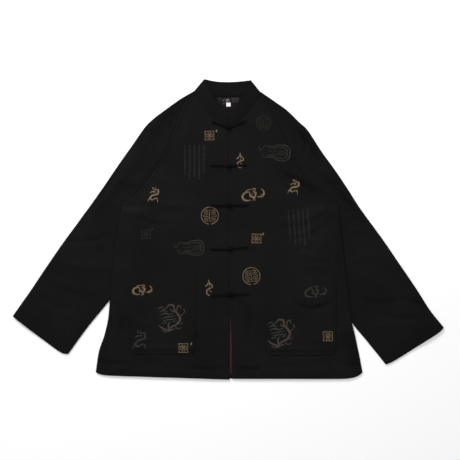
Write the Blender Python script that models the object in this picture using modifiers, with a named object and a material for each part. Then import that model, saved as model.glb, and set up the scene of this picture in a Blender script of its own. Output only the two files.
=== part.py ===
import math

import bpy
import bmesh
from mathutils import Vector
from mathutils.bvhtree import BVHTree

# A tang jacket laid out flat on its back: every piece that a maker cuts and sews is one thin
# solid. X runs from cuff to cuff, Y from hem to collar and Z up from the surface it lies on.
# Tables are in millimetres, from the middle of the collar's width and of the jacket's length.

mm = 0.001
centreShift = (0.0, -2.2)  # brings the middle of the laid-out jacket to the origin
seamGap = 0.6  # between pieces that are sewn edge to edge
sides = ("right", "left")  # the wearer's right lies at -X

for item in list(bpy.data.objects):
    bpy.data.objects.remove(item, do_unlink=True)

jacket = bpy.data.collections.new("tang_jacket")
bpy.context.scene.collection.children.link(jacket)

# The fronts in plan, a row for each level down the body. The edge is the raglan seam down to the
# underarm and the side seam below it; inner is the neckline, then the centre front.
frontColumns = ("level", "edgeRight", "innerRight", "innerLeft", "edgeLeft")
frontRows = [
    ("neck point", (-84.5, 356), (-80.8, 350.4), (78.6, 347.6), (82.3, 353.5)),
    ("neck side", (-116, 336), (-69.9, 335.3), (67.9, 334.3), (106, 329)),
    ("neck curve", (-129, 302), (-52.8, 312.3), (51.9, 311.8), (124, 295)),
    ("neck front", (-142, 264), (-29.5, 291.1), (29.5, 291.1), (143, 260)),
    ("collar end", (-152, 241), (0.6, 277.4), (1.4, 277.4), (154, 240)),
    ("upper chest", (-186, 172), (0.9, 212), (1.7, 212), (184, 173)),
    ("chest", (-216, 127), (1.8, 154), (2.6, 154), (212, 131)),
    ("low armhole", (-248, 90), (2.5, 106), (3.3, 106), (251, 100)),
    ("underarm", (-279, 66), (3, 66), (3.8, 66), (289, 73)),
    ("under sleeve", (-285, 42), (3.2, 34), (4, 34), (294, 48)),
    ("upper waist", (-295, -16), (3.5, -21), (4.3, -21), (301, -16)),
    ("waist", (-305, -105), (4, -106), (4.8, -106), (312, -106)),
    ("high hip", (-313, -193), (4.6, -193), (5.5, -193), (322, -193)),
    ("vent top", (-316, -228), (5, -233), (6.4, -233), (328, -244)),
    ("hip", (-327, -278), (5, -284), (9.6, -284), (337, -284)),
    ("low hip", (-342, -323), (4.8, -334), (10.2, -334), (347, -329)),
    ("hem", (-350, -376), (4.4, -396), (9.6, -394), (356, -377)),
]
underarm, hem = 8, 16  # rows of the table above

# The back down to the underarm; below that it has the fronts' side edges.
backColumns = ("level", "edgeRight", "middle", "edgeLeft")
backRows = [
    ("neck point", (-69, 359.3), (3.4, 357.4), (67, 358.6)),
    ("neck side", (-92, 322), (3.4, 322), (92, 322)),
    ("neck curve", (-115, 285), (3.4, 285), (115, 285)),
    ("neck front", (-140, 245), (3.4, 246), (140, 246)),
    ("collar end", (-155, 221), (3.4, 204), (156, 222)),
    ("upper chest", (-190, 170), (3.4, 160), (190, 174)),
    ("chest", (-220, 133), (3.4, 122), (221, 139)),
    ("low armhole", (-250, 98), (3.4, 92), (255, 104)),
    ("underarm", (-279, 66), (3.4, 66), (289, 73)),
]

# The sleeves' outer fold, level with the body's rows down to the underarm, then to the cuff.
foldColumns = ("level", "right", "left")
foldRows = [
    ("neck point", (-91.8, 366.8), (89.3, 364)),
    ("shoulder", (-124, 348), (124, 340)),
    ("mid shoulder", (-162, 321), (156, 317)),
    ("low shoulder", (-193, 298), (188, 286)),
    ("shoulder bend", (-214, 279), (207, 269)),
    ("upper arm", (-255, 222), (249, 206)),
    ("arm", (-291, 171), (281, 162)),
    ("low arm", (-329, 115), (316, 110)),
    ("underarm", (-367, 61), (347, 61)),
    ("above elbow", (-384, 38), (367, 33)),
    ("elbow", (-405, 9), (390, 2)),
    ("forearm", (-436, -33), (416, -34)),
    ("mid forearm", (-470, -82), (448, -81)),
    ("low forearm", (-499, -125), (476, -122)),
    ("wrist", (-523, -161), (503, -162)),
    ("cuff top", (-545, -192), (533, -209)),
    ("cuff", (-569.5, -227), (569.5, -255)),
]
# The sleeves' inner edge, from the underarm to the cuff.
underColumns = ("level", "right", "left")
underRows = [
    ("underarm", (-280.5, 66), (291, 73)),
    ("above elbow", (-287.5, 42), (297, 48)),
    ("elbow", (-270, -5), (285, -3)),
    ("forearm", (-266, -61), (277, -58)),
    ("mid forearm", (-280, -123), (281, -122)),
    ("low forearm", (-303, -172), (301, -186)),
    ("wrist", (-328, -204), (330, -247)),
    ("cuff top", (-372, -258), (367, -293)),
    ("cuff", (-423, -328), (418, -356)),
]

# The collar band, from the centre front round one side to the centre back: (x, y, z) of the
# middle of its cloth at its base and its top.
collarColumns = ("place", "base", "top")
collarRows = [
    ("centre front", (-1.1, 280.6, 3.9), (-1.1, 315, 7.0)),
    ("front round", (-16, 285.6, 3.9), (-14, 325, 7.5)),
    ("front slope", (-33, 297, 3.9), (-27, 337, 8.0)),
    ("mid slope", (-54, 316.6, 3.9), (-39, 355, 8.5)),
    ("high slope", (-70, 339, 3.8), (-50, 375, 8.5)),
    ("before fold", (-82.6, 357.8, 3.6), (-58, 391.5, 7.6)),
    ("fold", (-88.4, 368, 2.3), (-62, 399, 4.6)),
    ("after fold", (-79, 364.8, 1.0), (-57, 398.4, 1.6)),
    ("back side", (-62, 360.4, 1.0), (-44, 395.4, 1.0)),
    ("back", (-31, 358.4, 1.0), (-22, 392.4, 1.0)),
    ("centre back", (0, 358.1, 1.0), (0, 391.6, 1.0)),
]


def column(rows, columns, name):
    index = columns.index(name)
    return [row[index] for row in rows]


def smooth(low, high, value):
    share = min(1.0, max(0.0, (value - low) / (high - low)))
    return share * share * (3.0 - 2.0 * share)


def slopes(values):
    # Slopes of a curve that never overshoots the rows it goes through.
    steps = [b - a for a, b in zip(values, values[1:])]
    found = [steps[0]]
    for a, b in zip(steps, steps[1:]):
        found.append(0.0 if a * b <= 0.0 else 2.0 * a * b / (a + b))
    found.append(steps[-1])
    return found


def through(rows, station):
    # The point at a station, whole or part, of a smooth line through the rows.
    index = min(int(station), len(rows) - 2)
    t = station - index
    point = []
    for axis in range(len(rows[0])):
        values = [row[axis] for row in rows]
        slope = slopes(values)
        a, b = values[index], values[index + 1]
        point.append(
            a * (1 + 2 * t) * (1 - t) ** 2 + slope[index] * t * (1 - t) ** 2
            + b * t * t * (3 - 2 * t) + slope[index + 1] * t * t * (t - 1)
        )
    return Vector(point)


def toMetres(point):
    return Vector(((point[0] + centreShift[0]) * mm, (point[1] + centreShift[1]) * mm, point[2] * mm))


def material(name, colour, roughness):
    made = bpy.data.materials.new(name)
    made.use_nodes = True
    shader = made.node_tree.nodes["Principled BSDF"]
    shader.inputs["Base Color"].default_value = (*colour, 1.0)
    shader.inputs["Roughness"].default_value = roughness
    made.diffuse_color = (*colour, 1.0)
    return made


blackCloth = material("black_cloth", (0.012, 0.012, 0.013), 0.85)
frogCord = material("frog_cord", (0.004, 0.004, 0.005), 0.6)
placketRed = material("placket_red", (0.19, 0.02, 0.03), 0.8)
labelDark = material("label_cloth", (0.06, 0.05, 0.045), 0.7)
labelWhite = material("size_label_cloth", (0.7, 0.7, 0.68), 0.8)


def gridMesh(points):
    # A grid of faces whose corners are moved to the points, given row by row.
    rows, columns = len(points), len(points[0])
    shape = bmesh.new()
    bmesh.ops.create_grid(shape, x_segments=columns - 1, y_segments=rows - 1, size=0.5)
    for vert in shape.verts:
        across = round((vert.co.x + 0.5) * (columns - 1))
        down = round((vert.co.y + 0.5) * (rows - 1))
        vert.co = toMetres(points[down][across])
    return shape


def addObject(name, shape, cover):
    mesh = bpy.data.meshes.new(name)
    bmesh.ops.recalc_face_normals(shape, faces=shape.faces)
    if shape.calc_volume(signed=True) < 0.0:
        bmesh.ops.reverse_faces(shape, faces=shape.faces)
    shape.to_mesh(mesh)
    shape.free()
    mesh.materials.append(cover)
    made = bpy.data.objects.new(name, mesh)
    jacket.objects.link(made)
    return made


def clothPiece(name, points, wall, cover):
    made = addObject(name, gridMesh(points), cover)
    ply = made.modifiers.new("wall", "SOLIDIFY")
    ply.thickness = wall * mm
    ply.offset = 0.0
    ply.use_even_offset = True


# The body: levels are heights of the middle of the cloth.
body = {
    "wall": 1.2,
    "backLevel": 0.6,
    "edgeLevel": 2.1,  # the fronts at their outer edges
    "rise": 1.5,  # how much the fronts lift from there
    "riseWidth": 60,
    "lapRise": 4.2,  # how much the body lifts where it lies on a sleeve
    "lapHolds": 46,  # the lift's full width from the side edge
    "lapEnds": 112,
    "backHemUp": 2.0,  # how much shorter the back is than the fronts
}
# Where down its side the body lies on a sleeve: it lifts from start to full, in -y, and settles
# from hold to end.
laps = {
    "right": {"start": -65, "full": -45, "hold": 214, "end": 270},
    "left": {"start": -72, "full": -51, "hold": 262, "end": 318},
}
# The hem bows down from its outer corner, which is rounded over a share of its width.
hems = {
    "right": {"bow": 8.5, "corner": 0.05},
    "left": {"bow": 17.5, "corner": 0.06},
}
foldRidges = [
    {"start": (-225, 84), "end": (-95, 62), "halfWidth": 30, "height": 1.6},
    {"start": (-236, 22), "end": (-160, 20), "halfWidth": 26, "height": 1.2},
    {"start": (130, 20), "end": (262, 62), "halfWidth": 34, "height": 1.8},
    {"start": (196, -62), "end": (262, -66), "halfWidth": 28, "height": 1.3},
]
# Closer together where the body bends: over the lap, and at the outer edges.
bodyStations = [0, 1, 2, 3, 4, 5, 6, 7, 8, 8.5, 9, 9.5, 10, 11, 12, 12.5, 13, 13.5, 14, 14.5, 15, 16]
bodyShares = [0.0, 0.07, 0.145, 0.22, 0.295, 0.37, 0.48, 0.65, 0.82, 1.0]


def edgeColumn(side):
    return column(frontRows, frontColumns, "edge" + side.capitalize())


def innerColumn(side):
    return column(frontRows, frontColumns, "inner" + side.capitalize())


def lapHeight(side, edgeY, distance):
    lap = laps[side]
    share = smooth(lap["start"], lap["full"], -edgeY)
    share *= 1.0 - smooth(lap["hold"], lap["end"], -edgeY)
    return body["lapRise"] * share * (1.0 - smooth(body["lapHolds"], body["lapEnds"], distance))


def foldHeight(point):
    total = 0.0
    for ridge in foldRidges:
        start = Vector(ridge["start"])
        along = Vector(ridge["end"]) - start
        share = (point - start).dot(along) / along.length_squared
        near = start + along * min(1.0, max(0.0, share))
        away = (point - near).length / ridge["halfWidth"]
        total += ridge["height"] * (1.0 - smooth(0.0, 1.0, away))
    return total


def hemDrop(side, share):
    rule = hems[side]
    return rule["bow"] * (1 - share) * (1 - math.exp(-share / rule["corner"]))


def frontPoints(side):
    rows = []
    for station in bodyStations:
        edge = through(edgeColumn(side), station)
        inner = through(innerColumn(side), station)
        row = []
        for share in bodyShares:
            point = edge.lerp(inner, share)
            distance = (point - edge).length
            if station == hem:
                point.y -= hemDrop(side, share)
            height = body["edgeLevel"] + body["rise"] * smooth(0, body["riseWidth"], distance)
            height += lapHeight(side, edge.y, distance) + foldHeight(point)
            row.append((*point, height))
        rows.append(row)
    return rows


def backMiddle(station):
    if station <= underarm:
        return through(column(backRows, backColumns, "middle"), station)
    return (through(innerColumn("right"), station) + through(innerColumn("left"), station)) / 2


def backPoints():
    rows = []
    for station in bodyStations:
        row = []
        for side in sides:
            upper = column(backRows, backColumns, "edge" + side.capitalize())
            edge = through(upper + edgeColumn(side)[underarm + 1:], station)
            half = []
            for share in bodyShares:
                point = edge.lerp(backMiddle(station), share)
                distance = (point - edge).length
                if station == hem:
                    point.y -= hemDrop(side, share) - body["backHemUp"]
                half.append((*point, body["backLevel"] + lapHeight(side, edge.y, distance)))
            row += half if side == "right" else half[-2::-1]
        rows.append(row)
    return rows


# The sleeves: one sheet each, folded along the outer edge over a gap.
sleeve = {
    "wall": 1.2,
    "backLevel": 0.615,
    "foldTop": 3.1,  # the front layer's level where it turns over the fold
    "dome": 2.4,  # how much the front layer stands up between seam and fold
    "domeFrom": 0.2,  # the dome's start and end, in shares of the sleeve's width
    "domeTo": 1.25,
    "cuffFlatter": 0.35,  # share of the dome that is lost on the way to the cuff
    "foldTurns": (90, 45, 0, -45, -90),  # degrees round the fold
}
# How far the cuff bows out of line near its inner and outer corners.
cuffs = {
    "right": {"inner": 10.5, "outer": 2.5},
    "left": {"inner": 4.5, "outer": 8.5},
}
cuffCorners = {"inner": 0.06, "outer": 0.04, "end": 1.02}  # shares of the cuff's width
sleeveStations = [0, 1, 2, 3, 4, 5, 6, 7, 7.5, 8, 8.5, 9, 9.5, 10, 11, 12, 13, 14, 15, 15.6, 16]
sleeveShares = [0.0, 0.1, 0.24, 0.4, 0.58, 0.76, 0.91]


def sleeveEdge(side, layer, station):
    # Beside the raglan seam, then the sleeve's own inner edge below the underarm.
    if station >= underarm:
        return through(column(underRows, underColumns, side), station - underarm)
    if layer == "front":
        seam = edgeColumn(side)
    else:
        seam = column(backRows, backColumns, "edge" + side.capitalize())
    reach = 0.2
    along = through(seam, min(underarm, station + reach)) - through(seam, max(0, station - reach))
    away = Vector((along.y, -along.x)).normalized()
    if (away.x < 0) != (side == "right"):
        away = -away
    return through(seam, station) + away * seamGap


def cuffBow(side, share, station):
    bow = cuffs[side]["inner"] + (cuffs[side]["outer"] - cuffs[side]["inner"]) * share
    bow *= 1 - math.exp(-share / cuffCorners["inner"])
    bow *= 1 - math.exp(-(cuffCorners["end"] - share) / cuffCorners["outer"])
    return bow * smooth(13, hem, station)


def sleeveFront(station, share):
    # The front layer's level: it rises to the fold, and domes where an arm would be.
    full = smooth(1, 6, station) * (1 - sleeve["cuffFlatter"] * smooth(12, hem, station))
    lift = (sleeve["foldTop"] - body["edgeLevel"]) * smooth(0.5, 1.0, share)
    swell = math.sin(math.pi * smooth(sleeve["domeFrom"], sleeve["domeTo"], share)) ** 2
    return body["edgeLevel"] + lift + sleeve["dome"] * full * swell


def sleevePoints(side):
    rows = []
    radius = (sleeve["foldTop"] - sleeve["backLevel"]) / 2
    for station in sleeveStations:
        fold = through(column(foldRows, foldColumns, side), station)
        layers = {}
        for layer in ("back", "front"):
            inner = sleeveEdge(side, layer, station)
            reach = (fold - inner).normalized()
            end = fold - reach * (radius + sleeve["wall"] / 2)
            down = Vector((-reach.y, reach.x))
            if down.y > 0:
                down = -down
            layers[layer] = []
            for share in sleeveShares:
                point = inner.lerp(end, share) + down * cuffBow(side, share, station)
                level = sleeveFront(station, share) if layer == "front" else sleeve["backLevel"]
                layers[layer].append((*point, level))
        turn = []
        for degrees in sleeve["foldTurns"]:
            angle = math.radians(degrees)
            point = end + reach * radius * math.cos(angle)
            turn.append((*point, sleeve["backLevel"] + radius + radius * math.sin(angle)))
        rows.append(layers["front"] + turn + layers["back"][::-1])
    return rows


# The collar: its left side is a little narrower than its right, and lies lower by the fold.
collar = {"wall": 2.0, "leftNarrow": 0.04, "leftDrop": 2.8, "shares": (0.0, 0.35, 0.7, 1.0)}


def collarPoints():
    base = column(collarRows, collarColumns, "base")
    top = column(collarRows, collarColumns, "top")
    rows = []
    for side in sides:
        half = []
        for step in range(2 * len(collarRows) - 1):
            station = step / 2
            low, high = through(base, station), through(top, station)
            if side == "left":
                narrow = collar["leftNarrow"] * smooth(1, 5, station) * (1 - smooth(7, 10, station))
                drop = collar["leftDrop"] * smooth(3, 5.5, station) * (1 - smooth(6.5, 9, station))
                for point in (low, high):
                    point.x *= narrow - 1
                    point.y -= drop
            half.append([tuple(low.lerp(high, share)) for share in collar["shares"]])
        rows += half if side == "right" else half[-2::-1]
    return rows


fronts = {side: frontPoints(side) for side in sides}
clothPiece("back", backPoints(), body["wall"], blackCloth)
for side in sides:
    clothPiece("front_" + side, fronts[side], body["wall"], blackCloth)
    clothPiece("sleeve_" + side, sleevePoints(side), sleeve["wall"], blackCloth)
clothPiece("collar", collarPoints(), collar["wall"], blackCloth)


def surfaceOf(points):
    # The facets of a laid cloth piece, for pieces that lie on it.
    columns = len(points[0])
    corners = [Vector(point) for row in points for point in row]
    faces = []
    for row in range(len(points) - 1):
        for across in range(columns - 1):
            first = row * columns + across
            faces.append((first, first + 1, first + columns + 1, first + columns))
    return BVHTree.FromPolygons(corners, faces)


def heightOn(surface, x, y):
    above = Vector((x, y, 100))
    return surface.ray_cast(above, Vector((0, 0, -1)))[0].z


# Patch pockets on the fronts, with rounded lower corners.
pockets = {
    "right": {"left": -260, "right": -85, "top": -116, "bottom": -328},
    "left": {"left": 101, "right": 286, "top": -117, "bottom": -331},
}
pocket = {
    "wall": 1.2,
    "corner": 16,  # radius of a lower corner
    "narrowest": 0.8,  # share of that radius the bottom row may come in by
    "clear": 0.65,  # between the pocket and the front under it
    "steps": 8,
}


def pocketPoints(side):
    size = pockets[side]
    surface = surfaceOf(fronts[side])
    corner, steps = pocket["corner"], pocket["steps"]
    width = size["right"] - size["left"]
    straight = size["top"] - size["bottom"] - corner
    downs = [straight * index / steps for index in range(steps + 1)]
    downs += [straight + corner * share for share in (0.45, 0.8, 1.0)]
    rows = []
    for down in downs:
        past = max(0.0, down - straight)
        inset = min(pocket["narrowest"] * corner, corner - math.sqrt(corner ** 2 - past ** 2))
        y = size["top"] - down
        row = []
        for index in range(steps + 1):
            x = size["left"] + inset + (width - 2 * inset) * index / steps
            row.append((x, y, heightOn(surface, x, y) + body["wall"] + pocket["clear"]))
        rows.append(row)
    return rows


for side in sides:
    clothPiece("pocket_" + side, pocketPoints(side), pocket["wall"], blackCloth)

# Flat pieces between the back and the fronts: the strip behind the centre front, and the labels
# inside the back of the neck.
flatPieces = {
    "under_placket": {
        "left": -9, "right": 25, "top": 262, "bottom": -381, "level": 2.1, "across": 2, "down": 14,
        "cover": placketRed,
    },
    "neck_label": {
        "left": -29, "right": 32, "top": 352, "bottom": 314, "level": 2.0, "across": 4, "down": 3,
        "cover": labelDark,
    },
    "size_label": {
        "left": -6.5, "right": 8, "top": 337, "bottom": 326.8, "level": 3.3, "across": 2, "down": 2,
        "cover": labelWhite,
    },
}
flatWall = 1.0

for name, flat in flatPieces.items():
    points = []
    for down in range(flat["down"] + 1):
        y = flat["top"] + (flat["bottom"] - flat["top"]) * down / flat["down"]
        row = []
        for across in range(flat["across"] + 1):
            x = flat["left"] + (flat["right"] - flat["left"]) * across / flat["across"]
            row.append((x, y, flat["level"]))
        points.append(row)
    clothPiece(name, points, flatWall, flat["cover"])


# Frogs. The knot half is a doubled cord that ends in a ball; the loop half is a closed cord
# whose eye goes round the ball. Each row gives the knot, and the outer end of each half.
frogColumns = ("onRight", "knot", "onLeft")
frogRows = [
    ((-45, 287), (0.8, 271), (48, 289)),
    ((-48, 171), (1.2, 169), (50, 172)),
    ((-48, 64), (3, 65), (54, 66)),
    ((-48, -51), (4, -51), (54, -46)),
    ((-48, -174), (4.6, -171), (56, -170)),
]
cord = {
    "radius": 1.2,
    "level": 5.95,
    "sides": 6,
    "apart": 1.42,  # from the bar's middle to either run of its cord
    "barEnds": 0.62,  # share of the loop half's reach where its bar starts to widen
    "collarLift": 0.8,  # how much higher the top frog lies, on the collar's seam
}
ballLevel = 9.1


def knotRings(reach):
    # Rings along the knot half, from its outer end to the far side of its ball: distance from
    # the knot, level, half width and half depth.
    return [
        (reach, cord["level"], 0.0, 0.0),
        (reach - 0.7, cord["level"], 1.9, 0.9),
        (reach - 2.2, cord["level"], 2.6, 1.2),
        (reach * 0.6, cord["level"], 2.6, 1.2),
        (14.0, cord["level"], 2.4, 1.2),
        (9.2, 8.6, 1.7, 1.2),
        (5.6, ballLevel, 1.6, 1.3),
        (4.1, ballLevel, 2.4, 2.2),
        (2.4, ballLevel, 3.8, 3.8),
        (0.0, ballLevel, 4.5, 4.5),
        (-2.4, ballLevel, 3.8, 3.8),
        (-4.0, ballLevel, 2.0, 2.0),
        (-4.5, ballLevel, 0.0, 0.0),
    ]


# One side of the loop half from its bar round the eye: distance from the knot, offset.
eyeLine = [
    (13.0, 1.42), (10.0, 2.3), (7.6, 3.9), (5.2, 5.3), (2.7, 6.1), (0.0, 6.4), (-2.8, 5.8), (-5.2, 3.7),
    (-6.4, 0.0),
]


def frogFrame(outer, knot):
    # The knot's place, how far the half reaches from it, and the directions along and across.
    outer, knot = Vector(outer), Vector(knot)
    along = (outer - knot).normalized()
    return knot, (outer - knot).length, along, Vector((-along.y, along.x))


def knotHalf(name, outer, middle, lift):
    knot, reach, along, across = frogFrame(outer, middle)
    rings = knotRings(reach)
    shape = bmesh.new()
    bmesh.ops.create_uvsphere(shape, u_segments=cord["sides"], v_segments=len(rings) - 1, radius=1.0)
    for vert in shape.verts:
        turn = math.acos(max(-1.0, min(1.0, vert.co.z)))
        distance, level, halfWidth, halfDepth = rings[round(turn / math.pi * (len(rings) - 1))]
        angle = math.atan2(vert.co.y, vert.co.x)
        spot = knot + along * distance + across * halfWidth * math.cos(angle)
        vert.co = toMetres((*spot, level + lift + halfDepth * math.sin(angle)))
    addObject(name, shape, frogCord)


def loopHalf(name, outer, middle, lift):
    knot, reach, along, across = frogFrame(outer, middle)
    apart = cord["apart"]
    turns = (0.7, 0.0)  # radians round the outer end
    side = [(reach - apart + apart * math.sin(turn), apart * math.cos(turn)) for turn in turns]
    side += [(reach * cord["barEnds"], apart)] + eyeLine
    path = [(reach, 0.0)] + side + [(x, -y) for x, y in side[-2::-1]]
    count = len(path)
    shape = bmesh.new()
    bmesh.ops.create_grid(shape, x_segments=count, y_segments=cord["sides"], size=0.5)
    for vert in shape.verts:
        index = round((vert.co.x + 0.5) * count) % count
        angle = 2 * math.pi * (vert.co.y + 0.5)
        tangent = (Vector(path[(index + 1) % count]) - Vector(path[index - 1])).normalized()
        normal = Vector((-tangent.y, tangent.x))
        flat = Vector(path[index]) + normal * cord["radius"] * math.cos(angle)
        spot = knot + along * flat.x + across * flat.y
        vert.co = toMetres((*spot, cord["level"] + lift + cord["radius"] * math.sin(angle)))
    bmesh.ops.remove_doubles(shape, verts=shape.verts, dist=1e-6)
    addObject(name, shape, frogCord)


for number, (onRight, knot, onLeft) in enumerate(frogRows, start=1):
    lift = cord["collarLift"] if number == 1 else 0.0
    knotHalf("frog_knot_" + str(number), onRight, knot, lift)
    loopHalf("frog_loop_" + str(number), onLeft, knot, lift)
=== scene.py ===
import math

import bmesh
import bpy
import numpy as np
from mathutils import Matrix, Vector
from mathutils.bvhtree import BVHTree


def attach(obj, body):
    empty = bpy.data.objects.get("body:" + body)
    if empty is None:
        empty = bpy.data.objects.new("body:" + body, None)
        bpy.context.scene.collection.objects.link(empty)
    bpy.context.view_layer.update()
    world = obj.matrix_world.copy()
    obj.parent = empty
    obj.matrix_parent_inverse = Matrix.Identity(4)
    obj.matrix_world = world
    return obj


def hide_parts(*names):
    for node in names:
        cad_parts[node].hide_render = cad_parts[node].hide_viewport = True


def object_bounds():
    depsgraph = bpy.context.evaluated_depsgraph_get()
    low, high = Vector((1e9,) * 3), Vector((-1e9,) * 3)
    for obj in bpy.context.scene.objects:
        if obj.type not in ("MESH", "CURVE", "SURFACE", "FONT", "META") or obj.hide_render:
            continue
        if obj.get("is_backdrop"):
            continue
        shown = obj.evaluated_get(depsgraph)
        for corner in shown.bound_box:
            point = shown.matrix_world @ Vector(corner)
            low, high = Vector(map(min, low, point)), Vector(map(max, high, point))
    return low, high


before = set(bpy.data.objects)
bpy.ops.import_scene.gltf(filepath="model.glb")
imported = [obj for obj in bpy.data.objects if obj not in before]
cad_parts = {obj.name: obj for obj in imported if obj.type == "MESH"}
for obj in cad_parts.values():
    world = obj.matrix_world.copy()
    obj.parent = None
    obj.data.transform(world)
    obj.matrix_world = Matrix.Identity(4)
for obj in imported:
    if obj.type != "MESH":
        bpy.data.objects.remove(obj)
cadLow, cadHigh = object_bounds()
print("frame loaded:", len(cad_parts), "solids")

mm = 0.001
sides = ("right", "left")  # the wearer's right is at -X

# Where the jacket lies, in millimetres, by station: 0 neck, 8 underarm, 16 hem.
bodyTable = {"columns": ("seamRight", "innerRight", "innerLeft", "seamLeft"), "rows": [
    ((-84.5, 356), (-80.8, 350.4), (78.6, 347.6), (82.3, 353.5)),
    ((-116, 336), (-69.9, 335.3), (67.9, 334.3), (106, 329)),
    ((-129, 302), (-52.8, 312.3), (51.9, 311.8), (124, 295)),
    ((-142, 264), (-29.5, 291.1), (29.5, 291.1), (143, 260)),
    ((-152, 241), (0.95, 277.4), (1.05, 277.4), (154, 240)),
    ((-186, 172), (1.25, 212), (1.35, 212), (184, 173)),
    ((-216, 127), (2.15, 154), (2.25, 154), (212, 131)),
    ((-248, 90), (2.85, 106), (2.95, 106), (251, 100)),
    ((-279, 66), (3.35, 66), (3.45, 66), (289, 73)),
    ((-285, 42), (3.55, 34), (3.65, 34), (294, 48)),
    ((-295, -16), (3.85, -21), (3.95, -21), (301, -16)),
    ((-305, -105), (4.35, -106), (4.45, -106), (312, -106)),
    ((-313, -193), (4.95, -193), (5.1, -193), (322, -193)),
    ((-316, -228), (5, -233), (6.4, -233), (328, -244)),
    ((-327, -278), (5, -284), (9.6, -284), (337, -284)),
    ((-342, -323), (4.8, -334), (10.2, -334), (347, -329)),
    ((-350, -376), (4.4, -396), (9.6, -394), (356, -377)),
]}
backTable = {"columns": ("seamRight", "middle", "seamLeft"), "rows": [
    ((-69, 359.3), (3.4, 357.4), (67, 358.6)),
    ((-92, 322), (3.4, 322), (92, 322)),
    ((-115, 285), (3.4, 285), (115, 285)),
    ((-140, 245), (3.4, 246), (140, 246)),
    ((-155, 221), (3.4, 204), (156, 222)),
    ((-190, 170), (3.4, 160), (190, 174)),
    ((-220, 133), (3.4, 122), (221, 139)),
    ((-250, 98), (3.4, 92), (255, 104)),
    ((-279, 66), (3.4, 66), (289, 73)),
]}
sleeveTable = {"columns": ("foldRight", "foldLeft"), "rows": [
    ((-91.8, 366.8), (89.3, 364)), ((-124, 348), (124, 340)), ((-162, 321), (156, 317)),
    ((-193, 298), (188, 286)), ((-214, 279), (207, 269)), ((-255, 222), (249, 206)),
    ((-291, 171), (281, 162)), ((-329, 115), (316, 110)), ((-367, 61), (347, 61)),
    ((-384, 38), (367, 33)), ((-405, 9), (390, 2)), ((-436, -33), (416, -34)),
    ((-470, -82), (448, -81)), ((-499, -125), (476, -122)), ((-523, -161), (503, -162)),
    ((-545, -192), (533, -209)), ((-569.5, -227), (569.5, -255)),
]}
underarmTable = {"columns": ("innerRight", "innerLeft"), "rows": [
    # the sleeve's inner edge, from station 8
    ((-280, 66), (290.5, 73)), ((-280, 42), (289, 48)), ((-270, -5), (285, -3)),
    ((-266, -61), (277, -58)), ((-280, -123), (281, -122)), ((-303, -172), (301, -186)),
    ((-328, -204), (330, -247)), ((-372, -258), (367, -293)), ((-423, -328), (418, -356)),
]}
collarTable = {"columns": ("base", "top"), "rows": [
    # x, y and z, from the centre front round to the centre back
    ((-0.4, 280.6, 3.9), (-0.4, 315, 7.0)), ((-16, 285.6, 3.9), (-14, 325, 7.5)),
    ((-33, 297, 3.9), (-27, 337, 8.0)), ((-54, 316.6, 3.9), (-39, 355, 8.5)),
    ((-70, 339, 3.8), (-50, 375, 8.5)), ((-82.6, 357.8, 3.6), (-58, 391.5, 7.6)),
    ((-88.4, 368, 2.3), (-62, 399, 4.6)), ((-79, 364.8, 1.0), (-57, 398.4, 1.6)),
    ((-62, 360.4, 1.0), (-44, 395.4, 1.0)), ((-31, 358.4, 1.0), (-22, 392.4, 1.0)),
    ((0, 358.1, 1.0), (0, 391.6, 1.0)),
]}
# the last two set how dark the painted shade gets in troughs, and at most
cloth = {"wall": 1.2, "shift": -2.2, "backLevel": 0.6, "sleeveLevel": 0.62, "edgeLevel": 1.95,
         "rise": 1.65, "lapRise": 4.2, "bare": 3.6, "troughShade": 0.16, "darkest": 0.75}
underarm = 8  # the station of the underarm


def smooth(low, high, value):
    share = np.clip((np.asarray(value, float) - low) / (high - low), 0.0, 1.0)
    return share * share * (3.0 - 2.0 * share)


def column(table, name, side=""):
    index = table["columns"].index(name + side.capitalize())
    return np.array([row[index] for row in table["rows"]], float)


def runAlong(line):
    # The distance from a line's start to each of its points.
    return np.concatenate([[0], np.cumsum(np.linalg.norm(np.diff(line, axis=0), axis=1))])


def named(columns, rows):
    return [dict(zip(columns, row)) for row in rows]


def through(points, stations):
    # A smooth line through the rows of a table that never overshoots them.
    steps = np.diff(points, axis=0)
    before, after = steps[:-1], steps[1:]
    same = before * after > 0
    both = np.where(same, before + after, 1.0)
    middle = np.where(same, 2.0 * before * after / both, 0.0)
    slope = np.vstack([steps[:1], middle, steps[-1:]])
    stations = np.atleast_1d(np.asarray(stations, float))
    index = np.minimum(stations.astype(int), len(points) - 2)
    t = (stations - index)[:, None]
    a, b = points[index], points[index + 1]
    return (a * (1 + 2 * t) * (1 - t) ** 2 + slope[index] * t * (1 - t) ** 2
            + b * t * t * (3 - 2 * t) + slope[index + 1] * t * t * (t - 1))


def evenStations(points, step):
    # Stations a steady distance apart along a table's line.
    fine = np.linspace(0, len(points) - 1, 600)
    run = runAlong(through(points, fine))
    return np.interp(np.linspace(0, run[-1], max(2, int(run[-1] / step))), run, fine)


def between(start, end, share):
    # Rows of points, from one line across to another.
    return start[:, None] + (end - start)[:, None] * share[None, :, None]


def nodeAt(tree, kind, **settings):
    made = tree.nodes.new(kind)
    for name, value in settings.items():
        if name in made.inputs:
            made.inputs[name].default_value = value
        else:
            setattr(made, name, value)
    return made


def mathNode(tree, operation, first, second=None):
    made = tree.nodes.new("ShaderNodeMath")
    made.operation = operation
    for socket, value in zip(made.inputs, (first, second)):
        if value is None:
            continue
        if isinstance(value, (int, float)):
            socket.default_value = value
        else:
            tree.links.new(value, socket)
    return made.outputs[0]


def startGroup(name, inputs, outputs):
    # A node group with the names and kinds of its sockets.
    group = bpy.data.node_groups.new(name, "ShaderNodeTree")
    for direction, sockets in (("INPUT", inputs), ("OUTPUT", outputs)):
        for socket, kind in sockets.items():
            group.interface.new_socket(name=socket, in_out=direction, socket_type="NodeSocket" + kind)
    return group, group.nodes.new("NodeGroupInput"), group.nodes.new("NodeGroupOutput")


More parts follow.
